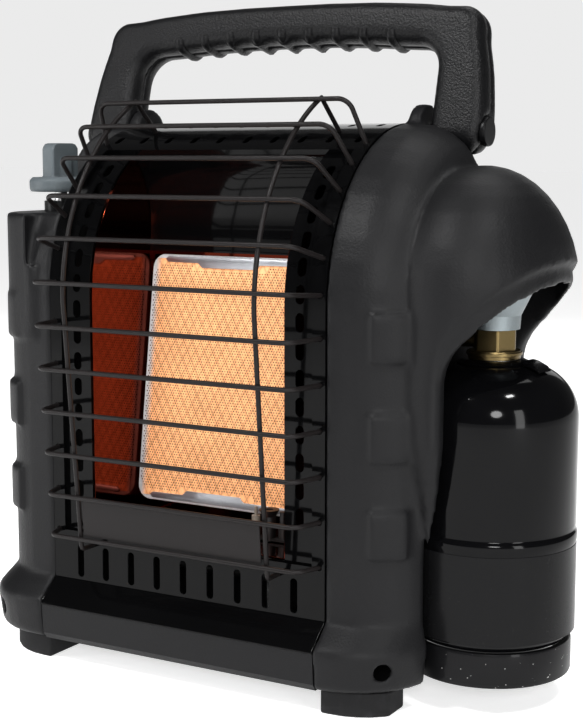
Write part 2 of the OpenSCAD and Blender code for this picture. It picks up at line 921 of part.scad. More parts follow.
module burner_plenum() {
    color("#8d8a84")
    placed()
        difference() {
            at_burner()
                difference() {
                    translate([-burner_w / 2, tile_t, 0])
                        cube([burner_w, plenum_d, burner_h]);
                    translate([-burner_w / 2 + sheet, tile_t + sheet, sheet])
                        cube([burner_w - 2 * sheet, plenum_d - 2 * sheet, burner_h - 2 * sheet]);
                }
            translate([0, mix_y - 24, mix_z])
                rotate([-90, 0, 0]) cylinder(r = 9 + fit, h = 20);
        }
}

module burner_tile() {
    color("#f5c27a")
    placed()
        at_burner()
            translate([-burner_w / 2 + 1, 0, 1])
                cube([burner_w - 2, tile_t, burner_h - 2]);
}

module burner_clamps() {
    // steel strips that hold the plaque's upper and lower edges
    color("#c9c9c9")
    placed()
        at_burner()
            for (z = [0, burner_h - tile_edge - 1])
                translate([-burner_w / 2, -sheet, z])
                    cube([burner_w, sheet, tile_edge + 1]);
}

mix_y = 29;                                      // axis of the mixing tube
mix_z = burner_z + 30;
pilot_low = 28;                                  // level run of the pilot's tube
burner_tube_z = 36;                              // level run of the burner's tube
tube_hole_r = 2.6;                               // holes that the pilot's tube passes

module venturi_tube() {
    color("#a7a9ab")
    placed()
        difference() {
            union() {
                translate([0, mix_y, 0])
                    rotate_extrude()
                        polygon([[0, 62], [11, 62], [7, 78], [9, 108], [9, mix_z + 9], [0, mix_z + 9]]);
                translate([0, mix_y, mix_z])
                    rotate([90, 0, 0]) cylinder(r = 9, h = 20.5);
            }
            translate([0, mix_y, 0])
                rotate_extrude()
                    polygon([[0, 61], [10, 61], [6, 78], [8, 108], [8, mix_z], [0, mix_z]]);
            translate([0, mix_y, mix_z])
                rotate([90, 0, 0]) cylinder(r = 8, h = 21.5);
        }
}

module gas_jet() {
    color(brassy)
    placed()
        translate([0, mix_y, 0])
            difference() {
                union() {
                    translate([0, 0, 42]) cylinder(r = 5, h = 8);
                    translate([0, 0, 50 + free_gap]) cylinder(r = 7, h = 6, $fn = 6);
                    translate([0, 0, 50]) cylinder(r = 5, h = 16);
                }
                translate([0, 0, 41]) cylinder(r = 1.5, h = 20);
                translate([0, 0, 50]) cylinder(r = 0.5, h = 20);
            }
}

module jet_bracket() {
    z0 = foot_h + wall;
    color("#8d8a84")
    placed()
        difference() {
            union() {
                translate([-14, mix_y - 12, 48])
                    cube([28, 24, 2]);
                translate([-14, mix_y + 10, z0])
                    cube([28, 2, 50 - z0]);
                translate([-14, mix_y - 6, z0])
                    cube([28, 18, 2]);
            }
            translate([0, mix_y, 47]) cylinder(r = 5 + fit, h = 4);
        }
}

// ---- gas controls ----

bushing_r = 10.5;
valve_low = 205;
tube_r = 4;                                      // gas tubes

module gas_valve() {
    color("#9a9c9e")
    placed()
        translate([-knob_x, -knob_y, 0])
            difference() {
                union() {
                    translate([-14, -14, valve_low])
                        cube([28, 30, 50]);
                    translate([0, 0, valve_low + 50])
                        cylinder(r = 12, h = 6);
                    translate([0, 0, valve_low - 10])
                        cylinder(r = 7, h = 12);
                }
                translate([0, 0, valve_low + 8])
                    cylinder(r = spindle_r + fit, h = 80);
                translate([0, 0, valve_low - 11])
                    cylinder(r = tube_r + fit, h = 9);
                translate([0, 12, valve_low + 25])
                    rotate([-90, 0, 0]) cylinder(r = tube_r + fit, h = 9);
            }
}

module valve_bushing() {
    color("#1b1b1c")
    placed()
        translate([-knob_x, -knob_y, 0])
            difference() {
                union() {
                    translate([0, 0, valve_low + 56 + free_gap])
                        cylinder(r = bushing_r, h = knob_low - push - 1 - valve_low - 56);
                    translate([0, 0, valve_low + 56 + free_gap])
                        cylinder(r = bushing_r + 2, h = pod_z - wall - valve_low - 56 - 2 * free_gap);
                }
                cylinder(r = spindle_r + fit, h = 400);
            }
}

module valve_spindle() {
    // round shaft in the valve, with a flat where the knob slides on it
    top = knob_low + skirt_h + 4;
    color("#c2c2c2")
    placed()
        translate([-knob_x, -knob_y, 0])
            difference() {
                translate([0, 0, valve_low + 10])
                    cylinder(r = spindle_r, h = top - valve_low - 10);
                translate([spindle_r - 1.5, -10, knob_low - push - 1])
                    cube([10, 20, 40]);
            }
}

// Socket that slides on the spindle, with the same flat
module spindle_socket(grow) {
    difference() {
        cylinder(r = spindle_r + grow, h = knob_top - wall - knob_low + push + 10);
        translate([spindle_r - 1.5 + grow, -10, -1])
            cube([10, 20, 60]);
    }
}

module knob_insert() {
    // metal sleeve moulded into the knob
    color("#b5b5b5")
    placed()
        translate([-knob_x, -knob_y, knob_low + 1])
            difference() {
                cylinder(r = spindle_r + 2, h = skirt_h + 4 + push);
                translate([0, 0, -1]) spindle_socket(fit);
            }
}

module control_knob() {
    color("#5f6569")
    placed()
        translate([-knob_x, -knob_y, knob_low])
            difference() {
                union() {
                    cylinder(r1 = knob_r - 0.8, r2 = knob_r, h = 2);
                    translate([0, 0, 2]) cylinder(r = knob_r, h = skirt_h - 4);
                    translate([0, 0, skirt_h - 2]) cylinder(r1 = knob_r, r2 = knob_r - 2, h = 2);
                    translate([-blade_t / 2, 0, skirt_h - 1])
                        rotate([90, 0, 90])
                            linear_extrude(blade_t)
                                polygon(concat(
                                    [[-blade_len / 2, 0], [blade_len / 2, 0]],
                                    arc_points(blade_len / 2 - 5, blade_h - 4, 5, 0, 90, 6),
                                    arc_points(-blade_len / 2 + 5, blade_h - 4, 5, 90, 180, 6)
                                ));
                    translate([0, 0, skirt_h - 1]) cylinder(r = 7.5, h = push + 7);
                }
                translate([0, 0, -1])
                    cylinder(r = bushing_r + 0.6, h = push + 2);
                translate([0, 0, 1])
                    cylinder(r = spindle_r + 2 + fit, h = skirt_h + 4 + push + fit);
            }
}

spigot_y1 = reg_r + 12;                          // rear end of the spigot's bearing

module supply_tube() {
    // from the swing spigot across the back of the case to the valve
    y1 = spigot_y1 + 6;
    z = swing_z;
    zv = valve_low + 25;
    r = tube_r - 1;
    color("#b9bcbe")
    placed()
        union() {
            rod([cyl_x, y1, z], [-knob_x, y1, z], r);
            translate([cyl_x, y1, z]) sphere(r = r);
            rod([cyl_x, spigot_y1 + 2.3, z], [cyl_x, y1, z], r);
            translate([-knob_x, y1, z]) sphere(r = r);
            rod([-knob_x, y1, z], [-knob_x, y1, zv], r);
            translate([-knob_x, y1, zv]) sphere(r = r);
            rod([-knob_x, y1, zv], [-knob_x, -knob_y + 13, zv], r);
        }
}

module burner_tube() {
    // from the valve's outlet down and across to the jet
    z1 = burner_tube_z;
    r = tube_r - 1.5;
    color("#b9bcbe")
    placed()
        union() {
            rod([-knob_x, -knob_y, valve_low - 3], [-knob_x, -knob_y, z1], r);
            translate([-knob_x, -knob_y, z1]) sphere(r = r);
            rod([-knob_x, -knob_y, z1], [-knob_x, mix_y, z1], r);
            translate([-knob_x, mix_y, z1]) sphere(r = r);
            rod([-knob_x, mix_y, z1], [0, mix_y, z1], r);
            translate([0, mix_y, z1]) sphere(r = r);
            rod([0, mix_y, z1], [0, mix_y, 42 - free_gap], r);
        }
}

pilot = [38, -burner_y - 10, window_z + 2];      // foot of the pilot burner

module pilot_burner() {
    color("#b8a06a")
    placed()
        translate(pilot)
            difference() {
                union() {
                    cylinder(r = 4, h = 14);
                    translate([-12, -3, 0]) cube([24, 6, 1.5]);
                    translate([0, 0, 14]) cylinder(r1 = 4, r2 = 6, h = 4);
                }
                translate([0, 0, 4]) cylinder(r = 2.5, h = 20);
            }
}

module pilot_tube() {
    p = pilot;
    color("#b9bcbe")
    placed()
        union() {
            rod([p[0], p[1], p[2] - free_gap], [p[0], p[1], pilot_low], 1.5);
            translate([p[0], p[1], pilot_low]) sphere(r = 1.5);
            rod([p[0], p[1], pilot_low], [-knob_x + 10, p[1], pilot_low], 1.5);
            translate([-knob_x + 10, p[1], pilot_low]) sphere(r = 1.5);
            rod([-knob_x + 10, p[1], pilot_low], [-knob_x + 10, p[1], valve_low - free_gap], 1.5);
        }
}

module thermocouple() {
    color("#b0703c")
    placed()
        translate([pilot[0] + 9, pilot[1], pilot[2] + 1.5])
            union() {
                cylinder(r = 1.6, h = 16);
                cylinder(r = 2.6, h = 6);
            }
}

module spark_electrode() {
    color("#e8e6df")
    placed()
        translate([pilot[0] - 9, pilot[1], pilot[2] + 1.5])
            union() {
                cylinder(r = 2.5, h = 12);
                cylinder(r = 1, h = 17);
            }
}

module piezo_igniter() {
    color("#c0392b")
    placed()
        translate([-knob_x + 20, -knob_y - 2, valve_low + 8])
            union() {
                cylinder(r = 5.5, h = 30);
                translate([0, 0, 30]) cylinder(r = 3, h = 8);
                translate([-6, -4, 4]) cube([6, 8, 4]);
            }
}

module tip_switch() {
    z0 = foot_h + wall;
    color("#d0cdc0")
    placed()
        translate([60, 40, z0])
            union() {
                cube([26, 18, 3]);
                translate([13, 9, 3]) cylinder(r = 8, h = 16);
            }
}

// ---- swing-out regulator ----

module swing_bracket() {
    // arm from the recess wall to the swing spigot
    y0 = reg_r + 4;
    color("#8d8a84")
    placed()
        difference() {
            intersection() {
                translate([cyl_x - nest_r, y0, swing_z - 13])
                    cube([nest_r + 12, 6, 26]);
                translate([cyl_x, 0, swing_z - 20])
                    cylinder(r = nest_r - free_gap, h = 40, $fn = 96);
            }
            translate([cyl_x, y0 - 1, swing_z])
                rotate([-90, 0, 0]) cylinder(r = spigot_r + fit, h = 8);
            // corner cleared for the recess ceiling
            translate([cyl_x - nest_r - 1, y0 - 1, swing_z + 4])
                cube([nest_r - 28, 8, 20]);
        }
}

module swing_spigot() {
    // hollow pin, gas enters from the rear; its head is behind the bracket
    y0 = reg_r - 8;
    color(brassy)
    placed()
        translate([cyl_x, 0, swing_z])
            rotate([-90, 0, 0])
                difference() {
                    union() {
                        translate([0, 0, y0]) cylinder(r = spigot_r, h = spigot_y1 - y0);
                        translate([0, 0, reg_r + 10 + free_gap]) cylinder(r = 9, h = 3, $fn = 6);
                    }
                    translate([0, 0, y0 - 1]) cylinder(r = 2.5, h = 60);
                }
}

module regulator_body() {
    color(grey)
    placed()
        difference() {
            union() {
                translate([cyl_x, 0, 0])
                    rotate_extrude()
                        polygon([
                            [0, nut_top + free_gap], [14, nut_top + free_gap], [14.5, nut_top + 8],
                            [20, swing_z - 22], [reg_r, swing_z - 10], [reg_r, swing_z - 10 + reg_h],
                            [0, swing_z - 10 + reg_h]
                        ]);
                translate([cyl_x, 0, swing_z])
                    rotate([-90, 0, 0]) cylinder(r = 10.5, h = reg_r + 3.5);
            }
            translate([cyl_x, reg_r - 9, swing_z])
                rotate([-90, 0, 0]) cylinder(r = spigot_r + fit, h = 20);
            // diaphragm chamber and the inlet passage
            translate([cyl_x, 0, swing_z + 6])
                cylinder(r = reg_r - 7, h = reg_h);
            translate([cyl_x, 0, nut_top - 1])
                cylinder(r = 3, h = 60);
            translate([cyl_x, 0, swing_z])
                rotate([-90, 0, 0]) cylinder(r = 2.5, h = reg_r);
        }
}

cover_z = swing_z - 10 + reg_h + free_gap;

module regulator_cover() {
    color(grey)
    placed()
        translate([cyl_x, 0, cover_z])
            difference() {
                union() {
                    cylinder(r = reg_r, h = 3);
                    cylinder(r1 = 22, r2 = 16, h = 9);
                    cylinder(r = 9, h = 12);
                }
                translate([0, 0, -1]) cylinder(r = 14, h = 7);
                for (a = [45 : 90 : 315])
                    rotate([0, 0, a])
                        translate([reg_r - 3.6, 0, -1]) cylinder(r = 1.6, h = 6);
            }
}

module cover_screws() {
    color("#c2c2c2")
    placed()
        translate([cyl_x, 0, cover_z + 3])
            for (a = [45 : 90 : 315])
                rotate([0, 0, a])
                    translate([reg_r - 3.6, 0, 0])
                        union() {
                            cylinder(r = 2.6, h = 2);
                            translate([0, 0, -2.9]) cylinder(r = 1.5, h = 3);
                        }
}

module inlet_nut() {
    // hexagon over a threaded cup that takes the cylinder's neck, with a plugged side port
    color(brassy)
    placed()
        translate([cyl_x, 0, 0])
            difference() {
                union() {
                    translate([0, 0, nut_low + 1])
                        intersection() {
                            cylinder(d = nut_af / cos(30), h = nut_h - 1, $fn = 6);
                            cylinder(r = nut_af / 2 + 1.2, h = nut_h - 1);
                        }
                    translate([0, 0, cup_low]) cylinder(r = cup_r, h = nut_low + 2 - cup_low);
                    translate([0, 0, nut_low - 0.6]) cylinder(r = cup_r + 1, h = 1.8);
                    translate([-8, 0, nut_low + 7])
                        rotate([0, -90, 0]) cylinder(r = 4.5, h = 12);
                }
                translate([0, 0, cup_low - 1]) cylinder(r = neck_r + fit, h = nut_low + 2 - cup_low);
                translate([0, 0, nut_low]) cylinder(r = stub_r + fit, h = nut_h + 2);
            }
}

module thread_seal() {
    // sealing washer between the neck's end and the cup's ceiling
    color("#b87a45")
    placed()
        translate([cyl_x, 0, neck_top + 0.05])
            difference() {
                cylinder(r = neck_r - 0.4, h = 0.5);
                translate([0, 0, -1]) cylinder(r = stub_r + 0.3, h = 3);
            }
}

// ---- cylinder ----

// Half outline of the cylinder's body, drawn in by the given inset
function cyl_profile(inset) = let (
    r = cyl_r - bead_out - inset, z0 = cyl_z + 16 + inset, z1 = crown_z - inset
) concat(
    [[0, z0]],
    arc_points(r - 14, z0 + 14, 14, -90, 0, 6),
    arc_points(r - 30, z1 - 30, 30, 0, 90, 10),
    [[0, z1]]
);

module cylinder_body() {
    color(gloss)
    placed()
        translate([cyl_x, 0, 0])
            difference() {
                union() {
                    rotate_extrude($fn = 96)
                        polygon(cyl_profile(0));
                    translate([0, 0, bead_z])
                        rotate_extrude($fn = 96)
                            translate([cyl_r - 3, 0]) circle(r = 3, $fn = 24);
                }
                rotate_extrude($fn = 96)
                    polygon(cyl_profile(cyl_wall));
                translate([0, 0, crown_z - 5]) cylinder(r = neck_r + fit, h = 10);
            }
}

module cylinder_neck() {
    // threaded neck from inside the crown up into the cup, with the valve's stub above it
    low = crown_z - cyl_wall - 2;
    color("#8d8a84")
    placed()
        translate([cyl_x, 0, 0])
            difference() {
                union() {
                    translate([0, 0, low]) cylinder(r = neck_r, h = neck_top - low);
                    translate([0, 0, low]) cylinder(r = stub_r, h = nut_low + 5 - low);
                }
                translate([0, 0, low - 1]) cylinder(r = neck_bore_r, h = 60);
            }
}

module neck_collar() {
    color("#161617")
    placed()
        translate([cyl_x, 0, crown_z])
            difference() {
                cylinder(r1 = 21, r2 = 17, h = cup_low - crown_z - free_gap);
                translate([0, 0, -1]) cylinder(r = neck_r + fit, h = 30);
            }
}

module collar_tab() {
    // wedge of the cap's tether that lies over the cylinder's crown
    color("#161617")
    placed()
        translate([cyl_x, 0, crown_z])
            rotate([90, 0, -10])
                translate([0, 0, -6])
                    linear_extrude(12)
                        polygon([
                            [21.3, 0.3], [27, -0.8], [32, -3], [33.2, -2.6], [31, 0], [25, 2.6], [21.3, 3.2]
                        ]);
}

module cylinder_foot() {
    // plastic boot that the cylinder stands on
    color("#1d1d1e")
    placed()
        translate([cyl_x, 0, 0])
            difference() {
                translate([0, 0, cyl_z])
                    cylinder(r = cyl_r - 2.2, h = 20);
                translate([0, 0, cyl_z - 1])
                    cylinder(r = cyl_r - 5, h = 17);
                rotate_extrude($fn = 96)
                    polygon(cyl_profile(-free_gap));
            }
}

module cylinder_band() {
    // printed wrap round the lower half, left plain
    color("#2b2b2b")
    placed()
        translate([cyl_x, 0, band_z])
            difference() {
                cylinder(r = cyl_r - 0.25, h = bead_z - 4 - band_z);
                translate([0, 0, -1]) cylinder(r = cyl_r - bead_out + fit, h = 100);
            }
}

// ---- handle ----

// Half outline of the handle, drawn in all round: outer edge from the leg's end up
function handle_outer(inset) = let (x = handle_x - inset, top = handle_h - inset) concat(
    [[x - 9, -handle_t / 2], [x - 4.6, -8.5], [x - 1.6, -3], [x, 4], [x - 1.1, 17], [x - 3.4, 34],
        [x - 5.5, 44], [x - 8, 54]],
    arc_points(handle_x - 23, handle_h - 20, 14.5 - inset, 5, 72, 5),
    [
        [handle_x - 31.5, top - 5.4], [handle_x - 45, top - 3.6], [handle_x - 60, top - 2.3],
        [handle_x - 80, top - 0.9], [handle_x - 110, top - 0.1], [0, top]
    ]
);

// Inner edge of the same half, from the leg's end up to the middle of the grip's underside
function handle_inner(inset) = let (x = handle_x - leg_w + inset, under = handle_h - grip_h + inset) concat(
    [[x, -handle_t / 2]],
    arc_points(handle_x - leg_w - 16, handle_h - grip_h - 20, 16 + inset, 0, 78, 5),
    [[75, under - 3.2], [60, under - 1.9], [30, under - 0.4], [0, under]]
);

function mirrored(points) = [for (i = [len(points) - 1 : -1 : 0]) [-points[i][0], points[i][1]]];

function handle_loop(inset) = let (
    outer = handle_outer(inset), inner = handle_inner(inset), back = mirrored(outer)
) concat(
    outer, [for (i = [1 : len(back) - 1]) back[i]], [for (q = inner) [-q[0], q[1]]],
    [for (i = [len(inner) - 2 : -1 : 0]) inner[i]]
);

// Where a corner of the outer or inner edge stands in the loop, for s = 1 or its mirror image
outer_last = len(handle_outer(0)) - 1;
inner_last = len(handle_inner(0)) - 1;
function outer_at(i, s) = s > 0 || i == outer_last ? i : 2 * outer_last - i;
function inner_at(i, s) =
    let (mid = 2 * outer_last + 1 + inner_last) mid + s * (inner_last - i);
function across(i) = floor(i * inner_last / outer_last);

// Triangles of a flat face through the whole loop
handle_face = [
    for (s = [1, -1], i = [0 : outer_last - 1])
        let (
            a = outer_at(i, s), b = outer_at(i + 1, s),
            c = inner_at(across(i), s), d = inner_at(across(i + 1), s)
        )
            each concat(
                [s > 0 ? [a, b, c] : [b, a, c]],
                across(i + 1) > across(i) ? [s > 0 ? [b, d, c] : [b, c, d]] : []
            )
];

// Rounded solid through outlines that are drawn in step by step towards one face
module handle_loft(side) {
    t = handle_t / 2;
    steps = [[0, 0], [t - 8, 0], [t - 4.5, 0.9], [t - 2, 2.6], [t - 0.6, 4.6], [t, 7]];
    n = len(handle_loop(0));
    m = len(steps);
    top = (m - 1) * n;
    polyhedron(
        points = [for (k = steps) for (q = handle_loop(k[1])) [q[0], side * k[0], q[1]]],
        faces = concat(
            [for (f = handle_face) side < 0 ? f : [f[2], f[1], f[0]]],
            [
                for (i = [0 : m - 2], j = [0 : n - 1])
                    let (k = (j + 1) % n, a = i * n, b = (i + 1) * n)
                        each side < 0
                            ? [[a + j, b + j, b + k], [a + j, b + k, a + k]]
                            : [[a + k, b + k, b + j], [a + k, b + j, a + j]]
            ],
            [
                for (f = handle_face)
                    let (g = [top + f[0], top + f[1], top + f[2]]) side < 0 ? [g[2], g[1], g[0]] : g
            ]
        )
    );
}

// One half of the handle: side is -1 for the front half and 1 for the rear half
module handle_half(side) {
    t = handle_t / 2;
    at_pivot()
        difference() {
            union() {
                handle_loft(side);
                for (i = [0 : rib_n - 1])
                    translate([(i - (rib_n - 1) / 2) * rib_pitch, 0, handle_h - grip_h + 1.8])
                        rotate([-side * 90, 0, 0]) cylinder(r = rib_r, h = t - 3, $fn = 24);
            }
            for (s = [-1, 1]) {
                // round lower end of the leg
                translate([s * (handle_x - leg_w / 2) - leg_w, 0, 0])
                    difference() {
                        translate([0, -t - 1, -t - 1])
                            cube([2 * leg_w, 2 * t + 2, t + 1]);
                        rotate([0, 90, 0]) cylinder(r = t + 0.4, h = 2 * leg_w);
                    }
                // bore for the pivot bolt, and the cap's seat
                translate([s * (handle_x - leg_w - 1), 0, 0])
                    rotate([0, s * 90, 0]) cylinder(r = bolt_r + fit, h = leg_w - 3);
                translate([s * (handle_x - 4), 0, 0])
                    rotate([0, s * 90, 0]) cylinder(r = cap_r, h = 10);
            }
            translate([-handle_x - 5, -seam_gap / 2, -20])
                cube([2 * handle_x + 10, seam_gap, 120]);
        }
}

cap_r = 9;                                       // caps over the bolts' ends

module handle_front() {
    color("#1f1f20")
    placed() handle_half(-1);
}

module handle_rear() {
    color("#1f1f20")
    placed() handle_half(1);
}

module pivot_caps() {
    // oval covers over the bolt ends, flush in the legs' outer faces
    color("#18181a")
    placed()
        at_pivot()
            for (s = [-1, 1])
                translate([s * (handle_x - 4), 0, 0])
                    rotate([0, s * 90, 0])
                        translate([0, 0, 0.3]) cylinder(r = cap_r - free_gap, h = 4.2);
}

module handle_bolts() {
    // shoulder bolts from the ears into the legs
    len = leg_w - 6 + handle_x - leg_w - seam_x - 1.5;
    color("#c2c2c2")
    placed()
        translate([0, pivot_y, pivot_z])
            for (s = [-1, 1])
                rotate([0, s * 90, 0]) {
                    translate([0, 0, seam_x + 0.3]) cylinder(r = bolt_head_r, h = 1);
                    translate([0, 0, seam_x + 0.3]) cylinder(r = bolt_r, h = len + 1);
                }
}

module handle_screws() {
    color("#c2c2c2")
    placed()
        at_pivot()
            for (x = [-90, -30, 30, 90])
                translate([x, handle_t / 2 + free_gap, handle_h - grip_h / 2])
                    rotate([-90, 0, 0]) cylinder(r = screw_r, h = 1.6);
}

// ---- rear ----

module rear_cover() {
    color(black)
    placed()
        difference() {
            along_x(-seam_x + seam_gap / 2, seam_x - seam_gap / 2)
                difference() {
                    intersection() {
                        polygon(case_profile(0, foot_h + wall + free_gap));
                        translate([rear_cy + seam_gap, 0]) square([rear_y, top_z + 1]);
                    }
                    polygon(case_profile(wall, foot_h));
                }
            for (i = [0 : 8], row = [0, 1])
                translate([(i - 4) * 15, rear_y, 90 + 110 * row])
                    slot(5, 60, 12);
            for (s = [-1, 1], z = [40, 260])
                translate([s * (seam_x - 9), rear_y - 8, z])
                    rotate([-90, 0, 0]) cylinder(r = shank_r + fit, h = 12);
        }
}

module rear_screws() {
    color("#3a3a3a")
    placed()
        for (s = [-1, 1], z = [40, 260])
            translate([s * (seam_x - 9), rear_y, z])
                rotate([90, 0, 0]) cylinder(r = shank_r, h = 9);
}

module case_screws() {
    // screws up through the base pan into the shells
    color("#3a3a3a")
    placed()
        for (s = [-1, 1], y = [-40, 60])
            translate([s * (seam_x - 16), y, foot_h - 1.6])
                cylinder(r = screw_r, h = 1.6);
}

base_pan();
base_trim();
left_shell();
right_shell();
rear_cover();
front_bezel();
wire_guard();
guard_plate();
reflector();
heat_deflector();
heat_shield();
burner_plenum();
burner_tile();
burner_clamps();
venturi_tube();
gas_jet();
jet_bracket();
gas_valve();
valve_bushing();
supply_tube();
burner_tube();
pilot_burner();
pilot_tube();
thermocouple();
spark_electrode();
piezo_igniter();
tip_switch();
swing_bracket();
swing_spigot();
handle_bolts();
case_screws();
rear_screws();
feet();
handle_front();
handle_rear();
handle_screws();
pivot_caps();
valve_spindle();
control_knob();
knob_insert();
regulator_body();
regulator_cover();
cover_screws();
inlet_nut();
thread_seal();
cylinder_body();
cylinder_neck();
neck_collar();
collar_tab();
cylinder_foot();
cylinder_band();
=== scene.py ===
"""Looks of the portable propane heater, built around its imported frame.

Row frame in metres: +Z up, the burner faces -Y, the gas cylinder hangs on the +X side.
"""

import math

import bmesh
import bpy
import numpy as np
from bpy.props import FloatProperty, FloatVectorProperty, IntProperty, PointerProperty
from mathutils import Matrix, Vector


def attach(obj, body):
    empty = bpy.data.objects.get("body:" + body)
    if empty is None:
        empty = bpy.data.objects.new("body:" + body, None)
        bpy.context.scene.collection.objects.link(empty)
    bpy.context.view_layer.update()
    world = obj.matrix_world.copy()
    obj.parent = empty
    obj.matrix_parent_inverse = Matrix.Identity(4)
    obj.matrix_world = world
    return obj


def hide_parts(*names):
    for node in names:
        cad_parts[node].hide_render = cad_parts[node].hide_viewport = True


bl_info = {
    "name": "Portable propane heater",
    "version": (1, 0, 0),
    "blender": (4, 5, 0),
    "location": "View3D > Sidebar > Heater",
    "description": "Pieces and finishes of a portable radiant gas heater",
    "category": "Object",
}

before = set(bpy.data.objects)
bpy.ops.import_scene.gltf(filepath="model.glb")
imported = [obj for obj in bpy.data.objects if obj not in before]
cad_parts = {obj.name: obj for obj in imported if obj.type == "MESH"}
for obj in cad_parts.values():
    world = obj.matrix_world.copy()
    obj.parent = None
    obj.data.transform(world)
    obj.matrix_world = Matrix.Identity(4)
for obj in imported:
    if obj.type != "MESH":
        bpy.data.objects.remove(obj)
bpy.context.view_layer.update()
MM = 0.001
SHIFT_X, SHIFT_Y = -28.0, 9.45      # from the case's own frame to the row frame, in millimetres
BURNER_LEAN = math.radians(8)
GROOVE_STEP = 5.4                   # between the plaque's crossed grooves, in millimetres
GROOVE_X, GROOVE_Z = 0.87, 0.5      # their slant
HANDLE_LEAN = math.radians(15)
HANDLE_PIVOT = (0, 34.5, 318)       # middle of the handle's axis in the case's own frame


# ---- properties ----

def length(text, value, low, high):
    return FloatProperty(
        name=text[0], description=text[1], default=value * MM, min=low * MM, max=high * MM,
        subtype="DISTANCE", unit="LENGTH", precision=5,
    )


def colour(text, value):
    return FloatVectorProperty(
        name=text[0], description=text[1], default=value, size=3, min=0, max=1, subtype="COLOR"
    )


class HeaterSizes(bpy.types.PropertyGroup):
    """Sizes of the pieces that are finer than the frame"""

    shell_grid: length(("Shell grid", "Mesh size of the moulded side shells"), 1.7, 1.5, 4)
    handle_grid: length(("Handle grid", "Mesh size of the handle's halves"), 1.5, 1, 3)
    knob_grid: length(("Knob grid", "Mesh size of the knob"), 0.6, 0.4, 1.5)
    edge: length(("Edge", "Rounding of folded and cast edges"), 0.5, 0.1, 1)
    wire: length(("Wire", "Radius of the guard's wire"), 1.4, 1.1, 1.7)
    pit: length(("Gas hole", "Radius of a hole in the ceramic plaque"), 0.46, 0.2, 0.6)
    pit_step: length(("Hole spacing", "Spacing of the plaque's holes"), 1.8, 1.5, 3)
    relief: length(("Relief", "Depth of the plaque's crossed grooves"), 0.5, 0.1, 1)
    wire_sides: IntProperty(
        name="Wire sides", description="Sides of the guard's wire", default=14, min=6, max=24
    )


class HeaterColours(bpy.types.PropertyGroup):
    """Colours of the visible materials"""

    shell: colour(("Shell", "Moulded side shells"), (0.005, 0.005, 0.0055))
    handle: colour(("Handle", "Carry handle"), (0.0032, 0.0032, 0.0036))
    enamel: colour(("Enamel", "Gloss enamel of the sheet steel"), (0.001, 0.001, 0.0011))
    wire: colour(("Wire", "Guard wires and plate"), (0.0072, 0.006, 0.006))
    plaque: colour(("Plaque", "Ceramic plaque"), (0.86, 0.43, 0.2))
    rim: colour(("Rim", "White edge of the plaque"), (0.66, 0.66, 0.66))
    knob: colour(("Knob", "Control knob"), (0.075, 0.088, 0.095))
    zinc: colour(("Zinc", "Cast regulator"), (0.23, 0.26, 0.27))
    brass: colour(("Brass", "Inlet nut and fittings"), (0.17, 0.125, 0.055))


# ---- shader expressions ----

class Signal:
    """A node socket that takes part in Python expressions"""

    def __init__(self, finish, socket):
        self.finish, self.socket = finish, socket

    def math(self, operation, other=0.0, swap=False):
        first, second = (other, self) if swap else (self, other)
        return self.finish.node("ShaderNodeMath", {"operation": operation}, {0: first, 1: second})

    def __add__(self, other):
        return self.math("ADD", other)

    def __sub__(self, other):
        return self.math("SUBTRACT", other)

    def __rsub__(self, other):
        return self.math("SUBTRACT", other, swap=True)

    def __mul__(self, other):
        return self.math("MULTIPLY", other)

    def __truediv__(self, other):
        return self.math("DIVIDE", other)

    def __gt__(self, other):
        return self.math("GREATER_THAN", other)

    def __lt__(self, other):
        return self.math("LESS_THAN", other)

    __radd__ = __add__
    __rmul__ = __mul__

    def smooth(self, low, high):
        return self.finish.node(
            "ShaderNodeMapRange", {"interpolation_type": "SMOOTHSTEP"},
            {"Value": self, "From Min": low, "From Max": high},
        )

    def wave(self, step):
        """Distance to the nearest of evenly spaced lines, 0 on a line and 0.5 between two"""
        return (self / step).math("PINGPONG", 0.5)


